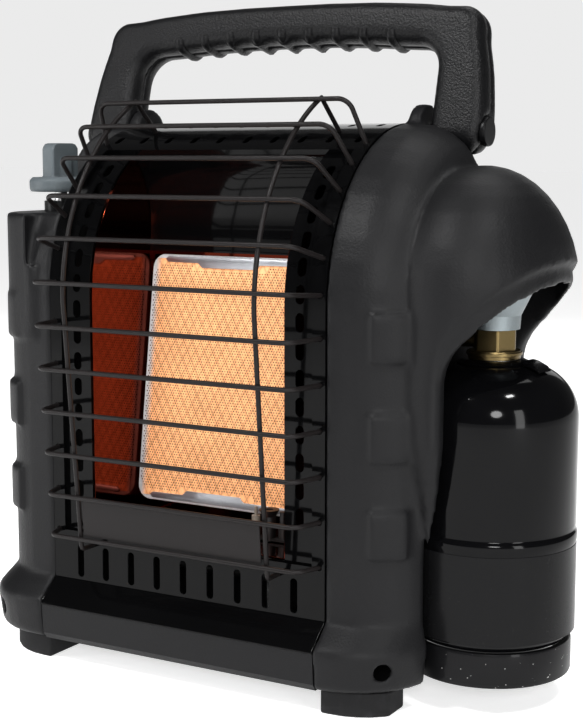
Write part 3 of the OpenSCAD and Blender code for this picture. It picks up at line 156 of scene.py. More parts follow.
class Finish:
    """A material built from expressions on Object coordinates"""

    made = {}

    def __init__(self, name):
        self.material = bpy.data.materials.new(name)
        self.material.use_nodes = True
        self.tree = self.material.node_tree
        self.shader = self.tree.nodes["Principled BSDF"]
        self.place = self.node("ShaderNodeTexCoord", {}, {}, "Object")
        Finish.made[name] = self.material

    def node(self, kind, settings=None, values=None, out=0):
        made = self.tree.nodes.new(kind)
        for key, value in (settings or {}).items():
            setattr(made, key, value)
        for key, value in (values or {}).items():
            self.join(made.inputs[key], value)
        return Signal(self, made.outputs[out])

    def join(self, socket, value):
        if isinstance(value, Signal):
            self.tree.links.new(value.socket, socket)
        elif hasattr(socket.default_value, "__len__"):
            value = (value,) * 3 if not hasattr(value, "__len__") else tuple(value)
            socket.default_value = (value + (1,))[: len(socket.default_value)]
        else:
            socket.default_value = value

    def axes(self):
        split = self.tree.nodes.new("ShaderNodeSeparateXYZ")
        self.tree.links.new(self.place.socket, split.inputs[0])
        return [Signal(self, s) for s in split.outputs]

    def noise(self, size, detail=2.0, stretch=None):
        """Noise with features of about the given size in metres"""
        at = self.place
        if stretch:
            at = self.node("ShaderNodeVectorMath", {"operation": "MULTIPLY"}, {0: at, 1: stretch})
        return self.node(
            "ShaderNodeTexNoise", {}, {"Vector": at, "Scale": 1 / size, "Detail": detail}, "Fac"
        )

    def cells(self, size):
        """Distance to the nearest of scattered points, about the given size in metres apart"""
        return self.node(
            "ShaderNodeTexVoronoi", {}, {"Vector": self.place, "Scale": 1 / size}, "Distance"
        )

    def mix(self, low, high, amount):
        made = self.tree.nodes.new("ShaderNodeMix")
        made.data_type = "RGBA"
        self.join(made.inputs["Factor"], amount)
        for socket, value in ((made.inputs[6], low), (made.inputs[7], high)):
            self.join(socket, value)
        return Signal(self, made.outputs[2])

    def set(self, **values):
        """Values or signals for the shader's sockets, named in lower case with underscores"""
        for key, value in values.items():
            self.join(self.shader.inputs[key.replace("_", " ").title()], value)
        return self

    def shine(self, level):
        """The shader's own specular level, the same all over"""
        self.shader.inputs["Specular IOR Level"].default_value = level

    def bump(self, height, depth, strength=1.0):
        return self.set(Normal=self.node(
            "ShaderNodeBump", {}, {"Height": height, "Distance": depth, "Strength": strength},
            "Normal",
        ))


def shade(tone, k):
    return tuple(min(1, c * k) for c in tone)


def moulded(name, tone, grain, depth, rough, patches=0.12, gloss=0.16):
    """Moulded plastic with an etched grain and faint handling marks"""
    f = Finish(name)
    cloud = f.noise(60 * MM, 3)
    etch = f.noise(grain, 2) * 0.6 + f.cells(grain * 1.7) * 0.5
    f.set(
        base_color=f.mix(shade(tone, 0.7), shade(tone, 1.45), cloud * 0.5 + etch * 0.5),
        roughness=cloud * patches + etch * 0.12 + (rough - 0.5 * patches - 0.06),
    )
    f.shine(gloss)
    return f.bump(etch, depth)


def enamelled(name, tone, rough=0.06):
    """Gloss enamel on sheet steel, with a faint orange peel"""
    f = Finish(name)
    peel = f.noise(7 * MM, 1)
    haze = f.noise(45 * MM, 3)
    f.set(
        base_color=f.mix(tone, shade(tone, 1.8), haze),
        roughness=haze * 0.05 + f.noise(1.2 * MM, 2) * 0.03 + rough,
        coat_weight=0.08, coat_roughness=0.03,
    )
    f.shine(0.08)
    return f.bump(peel, 0.05 * MM, 0.5)


def metal(name, tone, rough, streak=(1, 1, 1), size=0.6 * MM, spread=0.25, depth=0.03 * MM):
    """Bare metal with streaks or a cast skin"""
    f = Finish(name)
    fine = f.noise(size, 3, streak)
    stain = f.noise(12 * MM, 3)
    both = fine * 0.5 + stain * 0.5
    f.set(
        base_color=f.mix(shade(tone, 1 - spread), shade(tone, 1 + spread), both),
        roughness=fine * 0.18 + stain * 0.12 + (rough - 0.15), metallic=1.0,
    )
    return f.bump(fine, depth)


def burner_face(tone):
    """Ceramic between the gas holes: warm, with painted shade darkening its grooves so each cell is
    lighter in the middle, and a painted glow from its emission
    """
    f = Finish("plaque_ceramic")
    x, y, z = f.axes()
    v = z * math.cos(BURNER_LEAN) + y * math.sin(BURNER_LEAN)
    first = (x * GROOVE_X + v * GROOVE_Z).wave(GROOVE_STEP * MM)
    second = (x * GROOVE_X - v * GROOVE_Z).wave(GROOVE_STEP * MM)
    groove = first.math("MINIMUM", second).smooth(0.02, 0.16)
    scorch = f.noise(16 * MM, 3)
    # painted shade in the grooves, mixed with the scorch marks: it darkens both the colour and the
    # glow there
    groove_shade_and_scorch = groove * 0.7 + scorch.smooth(0.3, 0.7) * 0.3
    half_field = 61.5 * MM
    margin = half_field - (x + -SHIFT_X * MM).math("ABSOLUTE")
    lit = margin.smooth(-0.5 * MM, 4.5 * MM)
    f.set(
        base_color=f.mix((0.62, 0.6, 0.58), f.mix(shade(tone, 0.62), tone, groove_shade_and_scorch), lit),
        roughness=f.noise(2 * MM, 2) * 0.2 + 0.7,
        # painted glow: the plaque emits light though it is no lamp, dimmer in the painted groove
        # shade
        emission_color=f.mix((0, 0, 0), f.mix((0.5, 0.14, 0.03), (0.94, 0.39, 0.15), groove_shade_and_scorch), lit),
    )
    # strength of the painted glow
    f.shader.inputs["Emission Strength"].default_value = 0.36
    return f.bump(f.noise(0.5 * MM, 2), 0.1 * MM)


# dark discs that stand as painted shade inside the gas holes
def gas_hole():
    f = Finish("gas_hole")
    f.set(
        base_color=f.mix((0.06, 0.025, 0.008), (0.12, 0.045, 0.012), f.noise(9 * MM, 2)),
        roughness=f.noise(1 * MM, 1) * 0.1 + 0.85,
    )
    return f


def rubber(name, tone):
    f = Finish(name)
    dust = f.noise(8 * MM, 4)
    f.set(
        base_color=f.mix(tone, shade(tone, 2.2), dust.smooth(0.5, 0.75)),
        roughness=dust * 0.2 + 0.68,
    )
    f.shine(0.2)
    return f.bump(f.noise(0.7 * MM, 2), 0.06 * MM)


def painted_can(name, tone, rough, specks=0.0):
    """Gloss paint on the cylinder; specks are the dust and scuffs of its plastic boot"""
    f = Finish(name)
    haze, fine = f.noise(30 * MM, 3), f.cells(2.6 * MM)
    z = f.axes()[2]
    dust = (fine < 0.13) * (f.noise(5 * MM, 3) > 0.55) * (1 - z.smooth(24 * MM, 40 * MM))
    f.set(
        base_color=f.mix(f.mix(tone, shade(tone, 1.9), haze), (0.35, 0.35, 0.34), dust * specks),
        roughness=haze * 0.07 + dust * 0.3 + rough, coat_weight=0.1, coat_roughness=0.04,
    )
    f.shine(0.07)
    return f.bump(f.noise(4 * MM, 2), 0.03 * MM, 0.5)


def make_finishes(c):
    """Every material, under the name that the pieces ask for"""
    moulded("shell_plastic", c.shell, 0.85 * MM, 0.16 * MM, 0.48)
    moulded("base_plastic", c.shell, 0.8 * MM, 0.14 * MM, 0.5)
    moulded("handle_plastic", c.handle, 0.8 * MM, 0.3 * MM, 0.4, 0.06, 0.17)
    moulded("cap_plastic", shade(c.handle, 0.9), 0.8 * MM, 0.04 * MM, 0.36)
    moulded("knob_plastic", c.knob, 0.5 * MM, 0.03 * MM, 0.4)
    enamelled("black_enamel", c.enamel)
    enamelled("trim_enamel", c.enamel, 0.08)
    heat = metal("heat_tinted", (0.12, 0.018, 0.008), 0.1, size=9 * MM, spread=0.1, depth=0)
    heat.set(roughness=heat.noise(30 * MM, 2) * 0.05 + 0.05)
    moulded("guard_coating", c.wire, 0.6 * MM, 0.02 * MM, 0.4, 0.15)
    burner_face(c.plaque)
    gas_hole()
    moulded("rim_ceramic", c.rim, 0.9 * MM, 0.06 * MM, 0.7)
    metal("clamp_steel", (0.5, 0.51, 0.54), 0.42, (0.2, 1, 6), 1.5 * MM)
    metal("bright_steel", (0.62, 0.62, 0.62), 0.38, (1, 1, 4))
    metal("plated_steel", (0.36, 0.35, 0.33), 0.45)
    metal("dark_steel", (0.06, 0.06, 0.06), 0.5)
    metal("cast_zinc", c.zinc, 0.5, size=1.1 * MM, depth=0.12 * MM)
    metal("brass", c.brass, 0.34, (1, 1, 5), 0.8 * MM, 0.3)
    metal("copper", (0.5, 0.27, 0.15), 0.36, (1, 1, 5), 0.8 * MM)
    painted_can("cylinder_paint", (0.0012, 0.0012, 0.0014), 0.07)
    painted_can("boot_paint", (0.0035, 0.0035, 0.0038), 0.3, 1.0)
    moulded("cylinder_wrap", (0.0045, 0.0045, 0.0048), 1.2 * MM, 0.006 * MM, 0.24, 0.05, 0.1)
    rubber("foot_rubber", (0.0065, 0.0065, 0.007))
    moulded("white_ceramic", (0.2, 0.17, 0.14), 1 * MM, 0.02 * MM, 0.35)
    moulded("igniter_plastic", (0.45, 0.03, 0.02), 1 * MM, 0.02 * MM, 0.4)


# ---- meshes ----

def at_case(x, y, z):
    """A place in the case's own frame, in millimetres, as a place in the row frame"""
    return Vector(((x + SHIFT_X) * MM, (y + SHIFT_Y) * MM, z * MM))


def at_handle(x, y, z):
    """A place in the leaning handle's frame, in millimetres from the middle of its axis"""
    return at_case(*HANDLE_PIVOT) + Matrix.Rotation(-HANDLE_LEAN, 4, "X") @ (Vector((x, y, z)) * MM)


def to_mesh(bm, name):
    mesh = bpy.data.meshes.new(name)
    bm.to_mesh(mesh)
    bm.free()
    return mesh


def joined(nodes, dist=1e-6):
    """The frame's own triangles of some nodes, welded"""
    bm = bmesh.new()
    for node in nodes:
        bm.from_mesh(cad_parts[node].data)
    bmesh.ops.remove_doubles(bm, verts=bm.verts, dist=dist)
    return bm


def evaluated(obj):
    graph = bpy.context.evaluated_depsgraph_get()
    return bpy.data.meshes.new_from_object(obj.evaluated_get(graph))


def modified(mesh, *steps):
    """A mesh after a stack of modifiers, each a type and its settings"""
    obj = bpy.data.objects.new("work", mesh)
    bpy.context.scene.collection.objects.link(obj)
    for kind, settings in steps:
        mod = obj.modifiers.new(kind, kind)
        for key, value in settings.items():
            setattr(mod, key, value)
    result = evaluated(obj)
    bpy.data.objects.remove(obj)
    return result


def coordinates(mesh, what="co"):
    values = np.empty(len(mesh.vertices) * 3)
    mesh.vertices.foreach_get(what, values)
    return values.reshape(-1, 3)


def soft_mesh(nodes, grid, soften, blur):
    """A moulded form: the nodes' shape on an even grid, with soft edges and flowing normals"""
    source = to_mesh(joined(nodes), "source")
    box = coordinates(source)
    remesh = ("REMESH", {"mode": "VOXEL", "voxel_size": grid})
    mesh = modified(source, remesh, ("SMOOTH", {"factor": 0.5, "iterations": soften}))
    flow = modified(source, remesh, ("SMOOTH", {"factor": 0.5, "iterations": blur}))
    places = np.clip(coordinates(mesh), box.min(0), box.max(0))
    mesh.vertices.foreach_set("co", places.ravel())
    own, far = coordinates(mesh, "normal"), coordinates(flow, "normal")
    near = np.clip(((own * far).sum(1) - 0.8) / 0.15, 0, 1)[:, None]
    normals = own * (1 - near) + far * near
    normals /= np.linalg.norm(normals, axis=1)[:, None]
    mesh.shade_smooth()
    mesh.normals_split_custom_set_from_vertices(normals.tolist())
    return mesh


def edged_mesh(nodes, edge, flat=True):
    """Sheet steel or a machined piece: the nodes' shape with its sharp edges rounded"""
    bm = joined(nodes, 0.04 * MM)
    bmesh.ops.dissolve_limit(
        bm, angle_limit=math.radians(0.4), verts=bm.verts, edges=bm.edges, delimit={"NORMAL"}
    )
    settings = {
        "width": edge, "segments": 2, "limit_method": "ANGLE", "angle_limit": math.radians(38),
        "use_clamp_overlap": True, "miter_outer": "MITER_ARC",
    }
    mesh = modified(to_mesh(bm, "source"), ("BEVEL", settings))
    mesh.shade_smooth()
    mesh.set_sharp_from_angle(angle=math.radians(32))
    if flat:
        mesh = modified(mesh, ("WEIGHTED_NORMAL", {"keep_sharp": True, "weight": 100}))
    return mesh


def turned_mesh(name, profile, centre, sides=112):
    """A turned form from [radius, height] pairs in millimetres, bottom to top"""
    bm = bmesh.new()
    rings = []
    for r, z in profile:
        count = sides if r > 0 else 1
        rings.append([
            bm.verts.new((
                centre[0] + r * MM * math.cos(2 * math.pi * i / sides),
                centre[1] + r * MM * math.sin(2 * math.pi * i / sides), z * MM,
            )) for i in range(count)
        ])
    for low, high in zip(rings, rings[1:]):
        for i in range(sides):
            k = (i + 1) % sides
            face = [low[i % len(low)], low[k % len(low)], high[k % len(high)], high[i % len(high)]]
            face = list(dict.fromkeys(face))
            if len(face) > 2:
                bm.faces.new(face)
    if len(rings[0]) > 1 and len(rings[-1]) > 1:
        for i in range(sides):
            k = (i + 1) % sides
            bm.faces.new([rings[-1][i], rings[-1][k], rings[0][k], rings[0][i]])
    bmesh.ops.recalc_face_normals(bm, faces=bm.faces)
    mesh = to_mesh(bm, name)
    mesh.shade_smooth()
    mesh.set_sharp_from_angle(angle=math.radians(34))
    return mesh


def arc(cx, cy, r, a0, a1, steps):
    """Points of a circle's arc, from one angle to another in degrees"""
    return [
        (cx + r * math.cos(math.radians(a)), cy + r * math.sin(math.radians(a)))
        for a in np.linspace(a0, a1, steps + 1)
    ]


def piece(name, mesh, body, finish, replaced=()):
    obj = bpy.data.objects.new(name, mesh)
    bpy.context.scene.collection.objects.link(obj)
    mesh.materials.clear()
    mesh.materials.append(Finish.made[finish])
    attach(obj, body)
    if replaced:
        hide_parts(*replaced)
    return obj


# ---- geometry nodes ----

def node_tree(name, inputs):
    """An empty geometry tree with named inputs, and its first and last nodes"""
    tree = bpy.data.node_groups.new(name, "GeometryNodeTree")
    tree.interface.new_socket("Geometry", in_out="INPUT", socket_type="NodeSocketGeometry")
    for label, kind in inputs:
        tree.interface.new_socket(label, in_out="INPUT", socket_type=kind)
    tree.interface.new_socket("Geometry", in_out="OUTPUT", socket_type="NodeSocketGeometry")
    return tree, tree.nodes.new("NodeGroupInput"), tree.nodes.new("NodeGroupOutput")


def chain(tree, geometry, material, last):
    """Realize Instances and Set Material, then the tree's output"""
    real = tree.nodes.new("GeometryNodeRealizeInstances")
    paint = tree.nodes.new("GeometryNodeSetMaterial")
    tree.links.new(geometry, real.inputs[0])
    tree.links.new(real.outputs[0], paint.inputs["Geometry"])
    tree.links.new(material, paint.inputs["Material"])
    tree.links.new(paint.outputs[0], last.inputs[0])


def wire_tree():
    """Round wire along each curve of the input"""
    tree, first, last = node_tree("wire along curves", [
        ("Radius", "NodeSocketFloat"), ("Sides", "NodeSocketInt"), ("Finish", "NodeSocketMaterial"),
    ])
    ring = tree.nodes.new("GeometryNodeCurvePrimitiveCircle")
    sweep = tree.nodes.new("GeometryNodeCurveToMesh")
    sweep.inputs["Fill Caps"].default_value = True
    smooth = tree.nodes.new("GeometryNodeSetShadeSmooth")
    tree.links.new(first.outputs["Radius"], ring.inputs["Radius"])
    tree.links.new(first.outputs["Sides"], ring.inputs["Resolution"])
    tree.links.new(first.outputs["Geometry"], sweep.inputs["Curve"])
    tree.links.new(ring.outputs[0], sweep.inputs["Profile Curve"])
    tree.links.new(sweep.outputs[0], smooth.inputs[0])
    chain(tree, smooth.outputs[0], first.outputs["Finish"], last)
    return tree


def repeat_tree():
    """A unit shape on each point of the input, all turned the same way"""
    tree, first, last = node_tree("unit on points", [
        ("Unit", "NodeSocketObject"), ("Turn", "NodeSocketRotation"),
        ("Finish", "NodeSocketMaterial"),
    ])
    unit = tree.nodes.new("GeometryNodeObjectInfo")
    place = tree.nodes.new("GeometryNodeInstanceOnPoints")
    tree.links.new(first.outputs["Unit"], unit.inputs["Object"])
    tree.links.new(first.outputs["Geometry"], place.inputs["Points"])
    tree.links.new(unit.outputs["Geometry"], place.inputs["Instance"])
    tree.links.new(first.outputs["Turn"], place.inputs["Rotation"])
    chain(tree, place.outputs[0], first.outputs["Finish"], last)
    return tree


def grown(data, tree, values):
    """The plain mesh that a tree makes from a mesh or curve, with its inputs set by identifier"""
    obj = bpy.data.objects.new("work", data)
    bpy.context.scene.collection.objects.link(obj)
    mod = obj.modifiers.new("nodes", "NODES")
    mod.node_group = tree
    sockets = {s.name: s.identifier for s in tree.interface.items_tree if s.in_out == "INPUT"}
    for label, value in values.items():
        mod[sockets[label]] = value
    obj.update_tag()
    mesh = evaluated(obj)
    bpy.data.objects.remove(obj)
    return mesh


def curves(name, paths):
    data = bpy.data.curves.new(name, "CURVE")
    data.dimensions = "3D"
    for path in paths:
        spline = data.splines.new("POLY")
        spline.points.add(len(path) - 1)
        for point, place in zip(spline.points, path):
            point.co = (*place, 1)
    return data


def repeated(name, places, unit_mesh, turn, finish):
    """Copies of a unit mesh at places, turned by an Euler rotation"""
    unit = bpy.data.objects.new("unit", unit_mesh)
    bpy.context.scene.collection.objects.link(unit)
    cloud = bpy.data.meshes.new(name)
    cloud.from_pydata([tuple(p) for p in places], [], [])
    mesh = grown(cloud, repeat_tree(), {
        "Unit": unit, "Turn": turn, "Finish": Finish.made[finish],
    })
    bpy.data.objects.remove(unit)
    return mesh


# ---- pieces ----

def sizes():
    return bpy.context.scene.heater_sizes


class HEATER_OT_finishes(bpy.types.Operator):
    """Make every material, and paint the frame's own nodes that stay in sight"""

    bl_idname = "heater.finishes"
    bl_label = "Finishes"

    kept = {
        "base_plastic": ["base_pan"],
        "cap_plastic": ["valve_bushing"],
        "dark_steel": [
            "pilot_burner", "thermocouple", "heat_shield", "burner_plenum", "jet_bracket",
            "case_screws", "rear_screws",
        ],
        "bright_steel": [
            "venturi_tube", "supply_tube", "burner_tube", "pilot_tube", "handle_bolts",
            "valve_spindle", "knob_insert", "cover_screws", "cylinder_neck",
        ],
        "plated_steel": ["swing_bracket", "tip_switch"],
        "brass": ["gas_jet", "swing_spigot"],
        "copper": ["thread_seal"],
        "white_ceramic": ["spark_electrode"],
        "igniter_plastic": ["piezo_igniter"],
        "cast_zinc": ["regulator_body", "regulator_cover", "gas_valve"],
    }

    def execute(self, context):
        make_finishes(context.scene.heater_colours)
        for finish, nodes in self.kept.items():
            for node in nodes:
                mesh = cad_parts[node].data
                mesh.materials.clear()
                mesh.materials.append(Finish.made[finish])
        return {"FINISHED"}


class HEATER_OT_shells(bpy.types.Operator):
    """Side shells, moulded with soft edges"""

    bl_idname = "heater.shells"
    bl_label = "Side shells"

    soften, blur = 4, 10

    def execute(self, context):
        for node in ("left_shell", "right_shell"):
            mesh = soft_mesh([node], sizes().shell_grid, self.soften, self.blur)
            piece(node + "_moulded", mesh, "case", "shell_plastic", [node])
        return {"FINISHED"}


class HEATER_OT_handle(bpy.types.Operator):
    """Both halves of the carry handle, with its finger ribs and caps"""

    bl_idname = "heater.handle"
    bl_label = "Handle"

    soften, blur = 4, 12
    under = ((0, 55.6), (30, 55.2), (60, 53.7), (75, 52.4), (80, 51.8))    # underside along X
    rise = ((0, 0), (5, 0), (8.5, 0.9), (11, 2.6), (12.4, 4.6))            # and its rise along Y
    count, pitch, radius, sunk = 9, 18.8, 3.1, 1.1
    steps = (0, 2.5, 5, 6.8, 8.5, 9.8, 11)

    def rib(self, x):
        """A finger rib's middle line, which follows the grip's underside from front to rear"""
        low = float(np.interp(abs(x), *zip(*self.under))) + self.sunk
        half = [(y, low + float(np.interp(y, *zip(*self.rise)))) for y in self.steps]
        half.append((half[-1][0] + 0.4, half[-1][1] + 3))
        line = [(-y, z) for y, z in reversed(half[1:])] + half
        return [at_handle(x, y, z) for y, z in line]

    def ribs(self):
        paths = [self.rib((i - (self.count - 1) / 2) * self.pitch) for i in range(self.count)]
        return grown(curves("rib lines", paths), wire_tree(), {
            "Radius": self.radius * MM, "Sides": 20, "Finish": Finish.made["handle_plastic"],
        })

    def execute(self, context):
        for node in ("handle_front", "handle_rear"):
            mesh = soft_mesh([node], sizes().handle_grid, self.soften, self.blur)
            piece(node + "_moulded", mesh, "handle", "handle_plastic", [node])
        piece("finger_ribs", self.ribs(), "handle", "handle_plastic")
        mesh = edged_mesh(["pivot_caps"], 1.2 * MM)
        piece("pivot_covers", mesh, "handle", "cap_plastic", ["pivot_caps"])
        return {"FINISHED"}


class HEATER_OT_knob(bpy.types.Operator):
    """Control knob with its grip blade"""

    bl_idname = "heater.knob"
    bl_label = "Knob"

    soften, blur = 5, 9

    def execute(self, context):
        mesh = soft_mesh(["control_knob"], sizes().knob_grid, self.soften, self.blur)
        piece("knob_moulded", mesh, "knob", "knob_plastic", ["control_knob"])
        return {"FINISHED"}


class HEATER_OT_front(bpy.types.Operator):
    """Sheet steel of the front, the trim strip, the rear cover and the feet"""

    bl_idname = "heater.front"
    bl_label = "Front and sheets"

    def execute(self, context):
        edge = sizes().edge
        for name, node, slot, finish, width in (
            ("front_sheet", "front_bezel", "black_enamel", "black_enamel", edge * 1.2),
            ("trim_strip", "base_trim", "black_enamel", "trim_enamel", edge),
            ("chamber_walls", "reflector", "black_enamel", "heat_tinted", edge * 0.5),
            ("deflector_sheet", "heat_deflector", "black_enamel", "black_enamel", edge * 0.4),
            ("back_cover", "rear_cover", "shell_plastic", "base_plastic", edge * 1.6),
            ("foot_blocks", "feet", "foot_rubber", "foot_rubber", edge * 3),
        ):
            mesh = edged_mesh([node], width, node != "heat_deflector")
            piece(name, mesh, "case", finish, [node])
        return {"FINISHED"}


class HEATER_OT_guard(bpy.types.Operator):
    """Wire guard and its plate"""

    bl_idname = "heater.guard"
    bl_label = "Guard"

    arc_r, arc_y, arc_z = 101.0, 26.0, 222.0
    gap, low_gap, panel_y = 25.0, 12.0, 75.0
    low_z, pitch, rows, weld = 80.0, 25.3, 12, 0.3
    flat_x, bend, end_x, upright_x = 78.5, 8.0, 90.0, 64.0

    def cross_wire(self, row, wire_d):
        """Both ends bend back and run into the front's side bands"""
        run = self.low_z + row * self.pitch - self.arc_z
        r = self.arc_r + self.gap
        drop = self.arc_z - self.low_z + 7
        lean = (self.gap - self.low_gap) / drop
        off = wire_d - self.weld
        reach = self.gap + off + 2 + min(run, 0) * lean
        half = arc(self.flat_x, self.bend, self.bend, -90, -12, 9) + [(self.end_x, reach)]
        path = []
        for x, y in [(-x, y) for x, y in reversed(half)] + half:
            if run > 0:
                a = run / r
                k = r + off - y
                path.append(at_case(x, self.arc_y - k * math.cos(a), self.arc_z + k * math.sin(a)))
            else:
                path.append(at_case(x, y - (r + off - self.arc_y) - run * lean, self.arc_z + run))
        return path

    def upright(self, x):
        r = self.arc_r + self.gap
        foot, low = -(self.panel_y + self.low_gap), self.low_z - 7
        path = [
            (-self.panel_y - 0.3, low), (foot + 2.5, low), (foot + 0.7, low + 0.7),
            (foot, low + 2.5),
        ]
        path += [
            (self.arc_y - r * math.cos(a), self.arc_z + r * math.sin(a))
            for a in np.linspace(0, math.radians(65.4), 26)
        ]
        end = math.radians(72)
        r = self.arc_r + 0.3
        path.append((self.arc_y - r * math.cos(end), self.arc_z + r * math.sin(end)))
        return [at_case(x, y, z) for y, z in path]

    def execute(self, context):
        radius = sizes().wire
        paths = [self.cross_wire(i, 2 * radius / MM) for i in range(self.rows)]
        paths += [self.upright(s * self.upright_x) for s in (-1, 1)]
        mesh = grown(curves("guard paths", paths), wire_tree(), {
            "Radius": radius, "Sides": sizes().wire_sides, "Finish": Finish.made["guard_coating"],
        })
        piece("guard_wires", mesh, "case", "guard_coating", ["wire_guard"])
        mesh = edged_mesh(["guard_plate"], 0.3 * MM)
        piece("guard_sheet", mesh, "case", "guard_coating", ["guard_plate"])
        return {"FINISHED"}


class HEATER_OT_burner(bpy.types.Operator):
    """Ceramic plaque with a painted glow, crossed grooves, gas holes as dark discs of painted
    shade, white rim and steel clamps
    """

    bl_idname = "heater.burner"
    bl_label = "Burner"

    width, height, thick = 128.6, 153.4, 13.0
    edge, grid_step = 3.4, 0.85
    hole_sides = 7
    place = Matrix.Translation(at_case(0, -31, 93)) @ Matrix.Rotation(-BURNER_LEAN, 4, "X")

    def at(self, x, y, z):
        """A place on the burner, in millimetres from the middle of its lower edge"""
        return self.place @ (Vector((x, y, z)) * MM)

    def inside(self, x, z, margin):
        """Whether a spot is in the field of holes, which steps back beside the clamps"""
        far = self.width / 2 - abs(x)
        step = 10.5 if -34 < x < 20 else 7.2
        corner = max(0.0, 9 - far) * 0.6
        return far > margin and step + corner < z < self.height - step - corner

    def relief(self, x, z):
        """Depth of the crossed grooves at a spot of the field"""
        slants = [x * GROOVE_X + s * z * GROOVE_Z for s in (-1, 1)]
        lines = [abs((slant / GROOVE_STEP + 0.5) % 1 - 0.5) for slant in slants]
        return -sizes().relief / MM * max(0.0, 1 - min(lines) / 0.16)

    def field(self):
        """The plaque's face between its rims, with the grooves in it"""
        bm = bmesh.new()
        wide, high = self.width - 2 * self.edge, self.height - 2 * self.edge
        cols, rows = int(wide / self.grid_step), int(high / self.grid_step)
        grid = []
        for j in range(rows + 1):
            z = self.edge + j * high / rows
            line = []
            for i in range(cols + 1):
                x = -self.width / 2 + self.edge + i * wide / cols
                line.append(bm.verts.new(self.at(x, 0.1 - self.relief(x, z), z)))
            grid.append(line)
        for j in range(rows):
            for i in range(cols):
                bm.faces.new([grid[j][i], grid[j][i + 1], grid[j + 1][i + 1], grid[j + 1][i]])
        mesh = to_mesh(bm, "field")
        mesh.shade_smooth()
        return mesh

    def holes(self):
        """Slightly hollow discs in a triangular pattern, dark as painted shade inside the gas holes
        """
        step = sizes().pit_step / MM
        places = []
        for j in range(int(self.height / (step * 0.87)) + 1):
            for i in range(int(self.width / step) + 2):
                x, z = -self.width / 2 + (i + 0.5 * (j % 2)) * step, j * step * 0.87
                if self.inside(x, z, 2.2):
                    places.append(self.at(x, min(0.05, 0.02 - self.relief(x, z) * 0.2), z))
        unit = bpy.data.meshes.new("hole")
        r, n = sizes().pit, self.hole_sides
        ring = [(r * math.cos(a), 0, r * math.sin(a)) for a in np.linspace(0, math.tau, n + 1)[:-1]]
        faces = [(0, i + 1, (i + 1) % n + 1) for i in range(n)]
        unit.from_pydata([(0, 0.15 * MM, 0)] + ring, [], faces)
        return repeated("gas_holes", places, unit, (-BURNER_LEAN, 0, 0), "gas_hole")

    def slab(self, name, outline, y0, y1, edge):
        """A plate of the given outline between two depths, with rounded edges"""
        bm = bmesh.new()
        near = [bm.verts.new(self.at(x, y0, z)) for x, z in outline]
        far = [bm.verts.new(self.at(x, y1, z)) for x, z in outline]
        bm.faces.new(near)
        bm.faces.new(reversed(far))
        for i in range(len(near)):
            k = (i + 1) % len(near)
            bm.faces.new([near[k], near[i], far[i], far[k]])
        bmesh.ops.recalc_face_normals(bm, faces=bm.faces)
        mesh = modified(to_mesh(bm, name), ("BEVEL", {
            "width": edge * MM, "segments": 2, "limit_method": "ANGLE", "angle_limit": 0.6,
        }))
        mesh.shade_smooth()
        mesh.set_sharp_from_angle(angle=math.radians(40))
        return mesh

    def rounded(self, x0, z0, x1, z1, r):
        """Outline of a rectangle with round corners"""
        return (
            arc(x1 - r, z0 + r, r, -90, 0, 6) + arc(x1 - r, z1 - r, r, 0, 90, 6)
            + arc(x0 + r, z1 - r, r, 90, 180, 6) + arc(x0 + r, z0 + r, r, 180, 270, 6)
        )

    def execute(self, context):
        w, h = self.width / 2, self.height
        rim = self.slab("rim", self.rounded(-w, 0.5, w, h - 0.5, 9), 0.7, self.thick, 1.2)
        piece("plaque_rim", rim, "case", "rim_ceramic", ["burner_tile"])
        # the plaque's face: its material carries a painted glow and painted shade in the grooves
        piece("plaque_field", self.field(), "case", "plaque_ceramic")
        # the gas holes: discs of painted shade
        piece("plaque_holes", self.holes(), "case", "gas_hole")
        top = [
            (-52, h - 5.6), (-30, h - 5.8), (-27, h - 8.6), (11, h - 8.6), (14, h - 5.8),
            (52, h - 5.6), (54, h - 4), (52, h - 2.2), (-52, h - 2.2), (-54, h - 4),
        ]
        low = [(x, h - z) for x, z in reversed(top)]
        bm = bmesh.new()
        for name, outline in (("top", top), ("low", low)):
            bm.from_mesh(self.slab(name, outline, -0.9, 0.9, 0.35))
        mesh = to_mesh(bm, "clamps")
        mesh.shade_smooth()
        mesh.set_sharp_from_angle(angle=math.radians(40))
        piece("clamp_strips", mesh, "case", "clamp_steel", ["burner_clamps"])
        return {"FINISHED"}


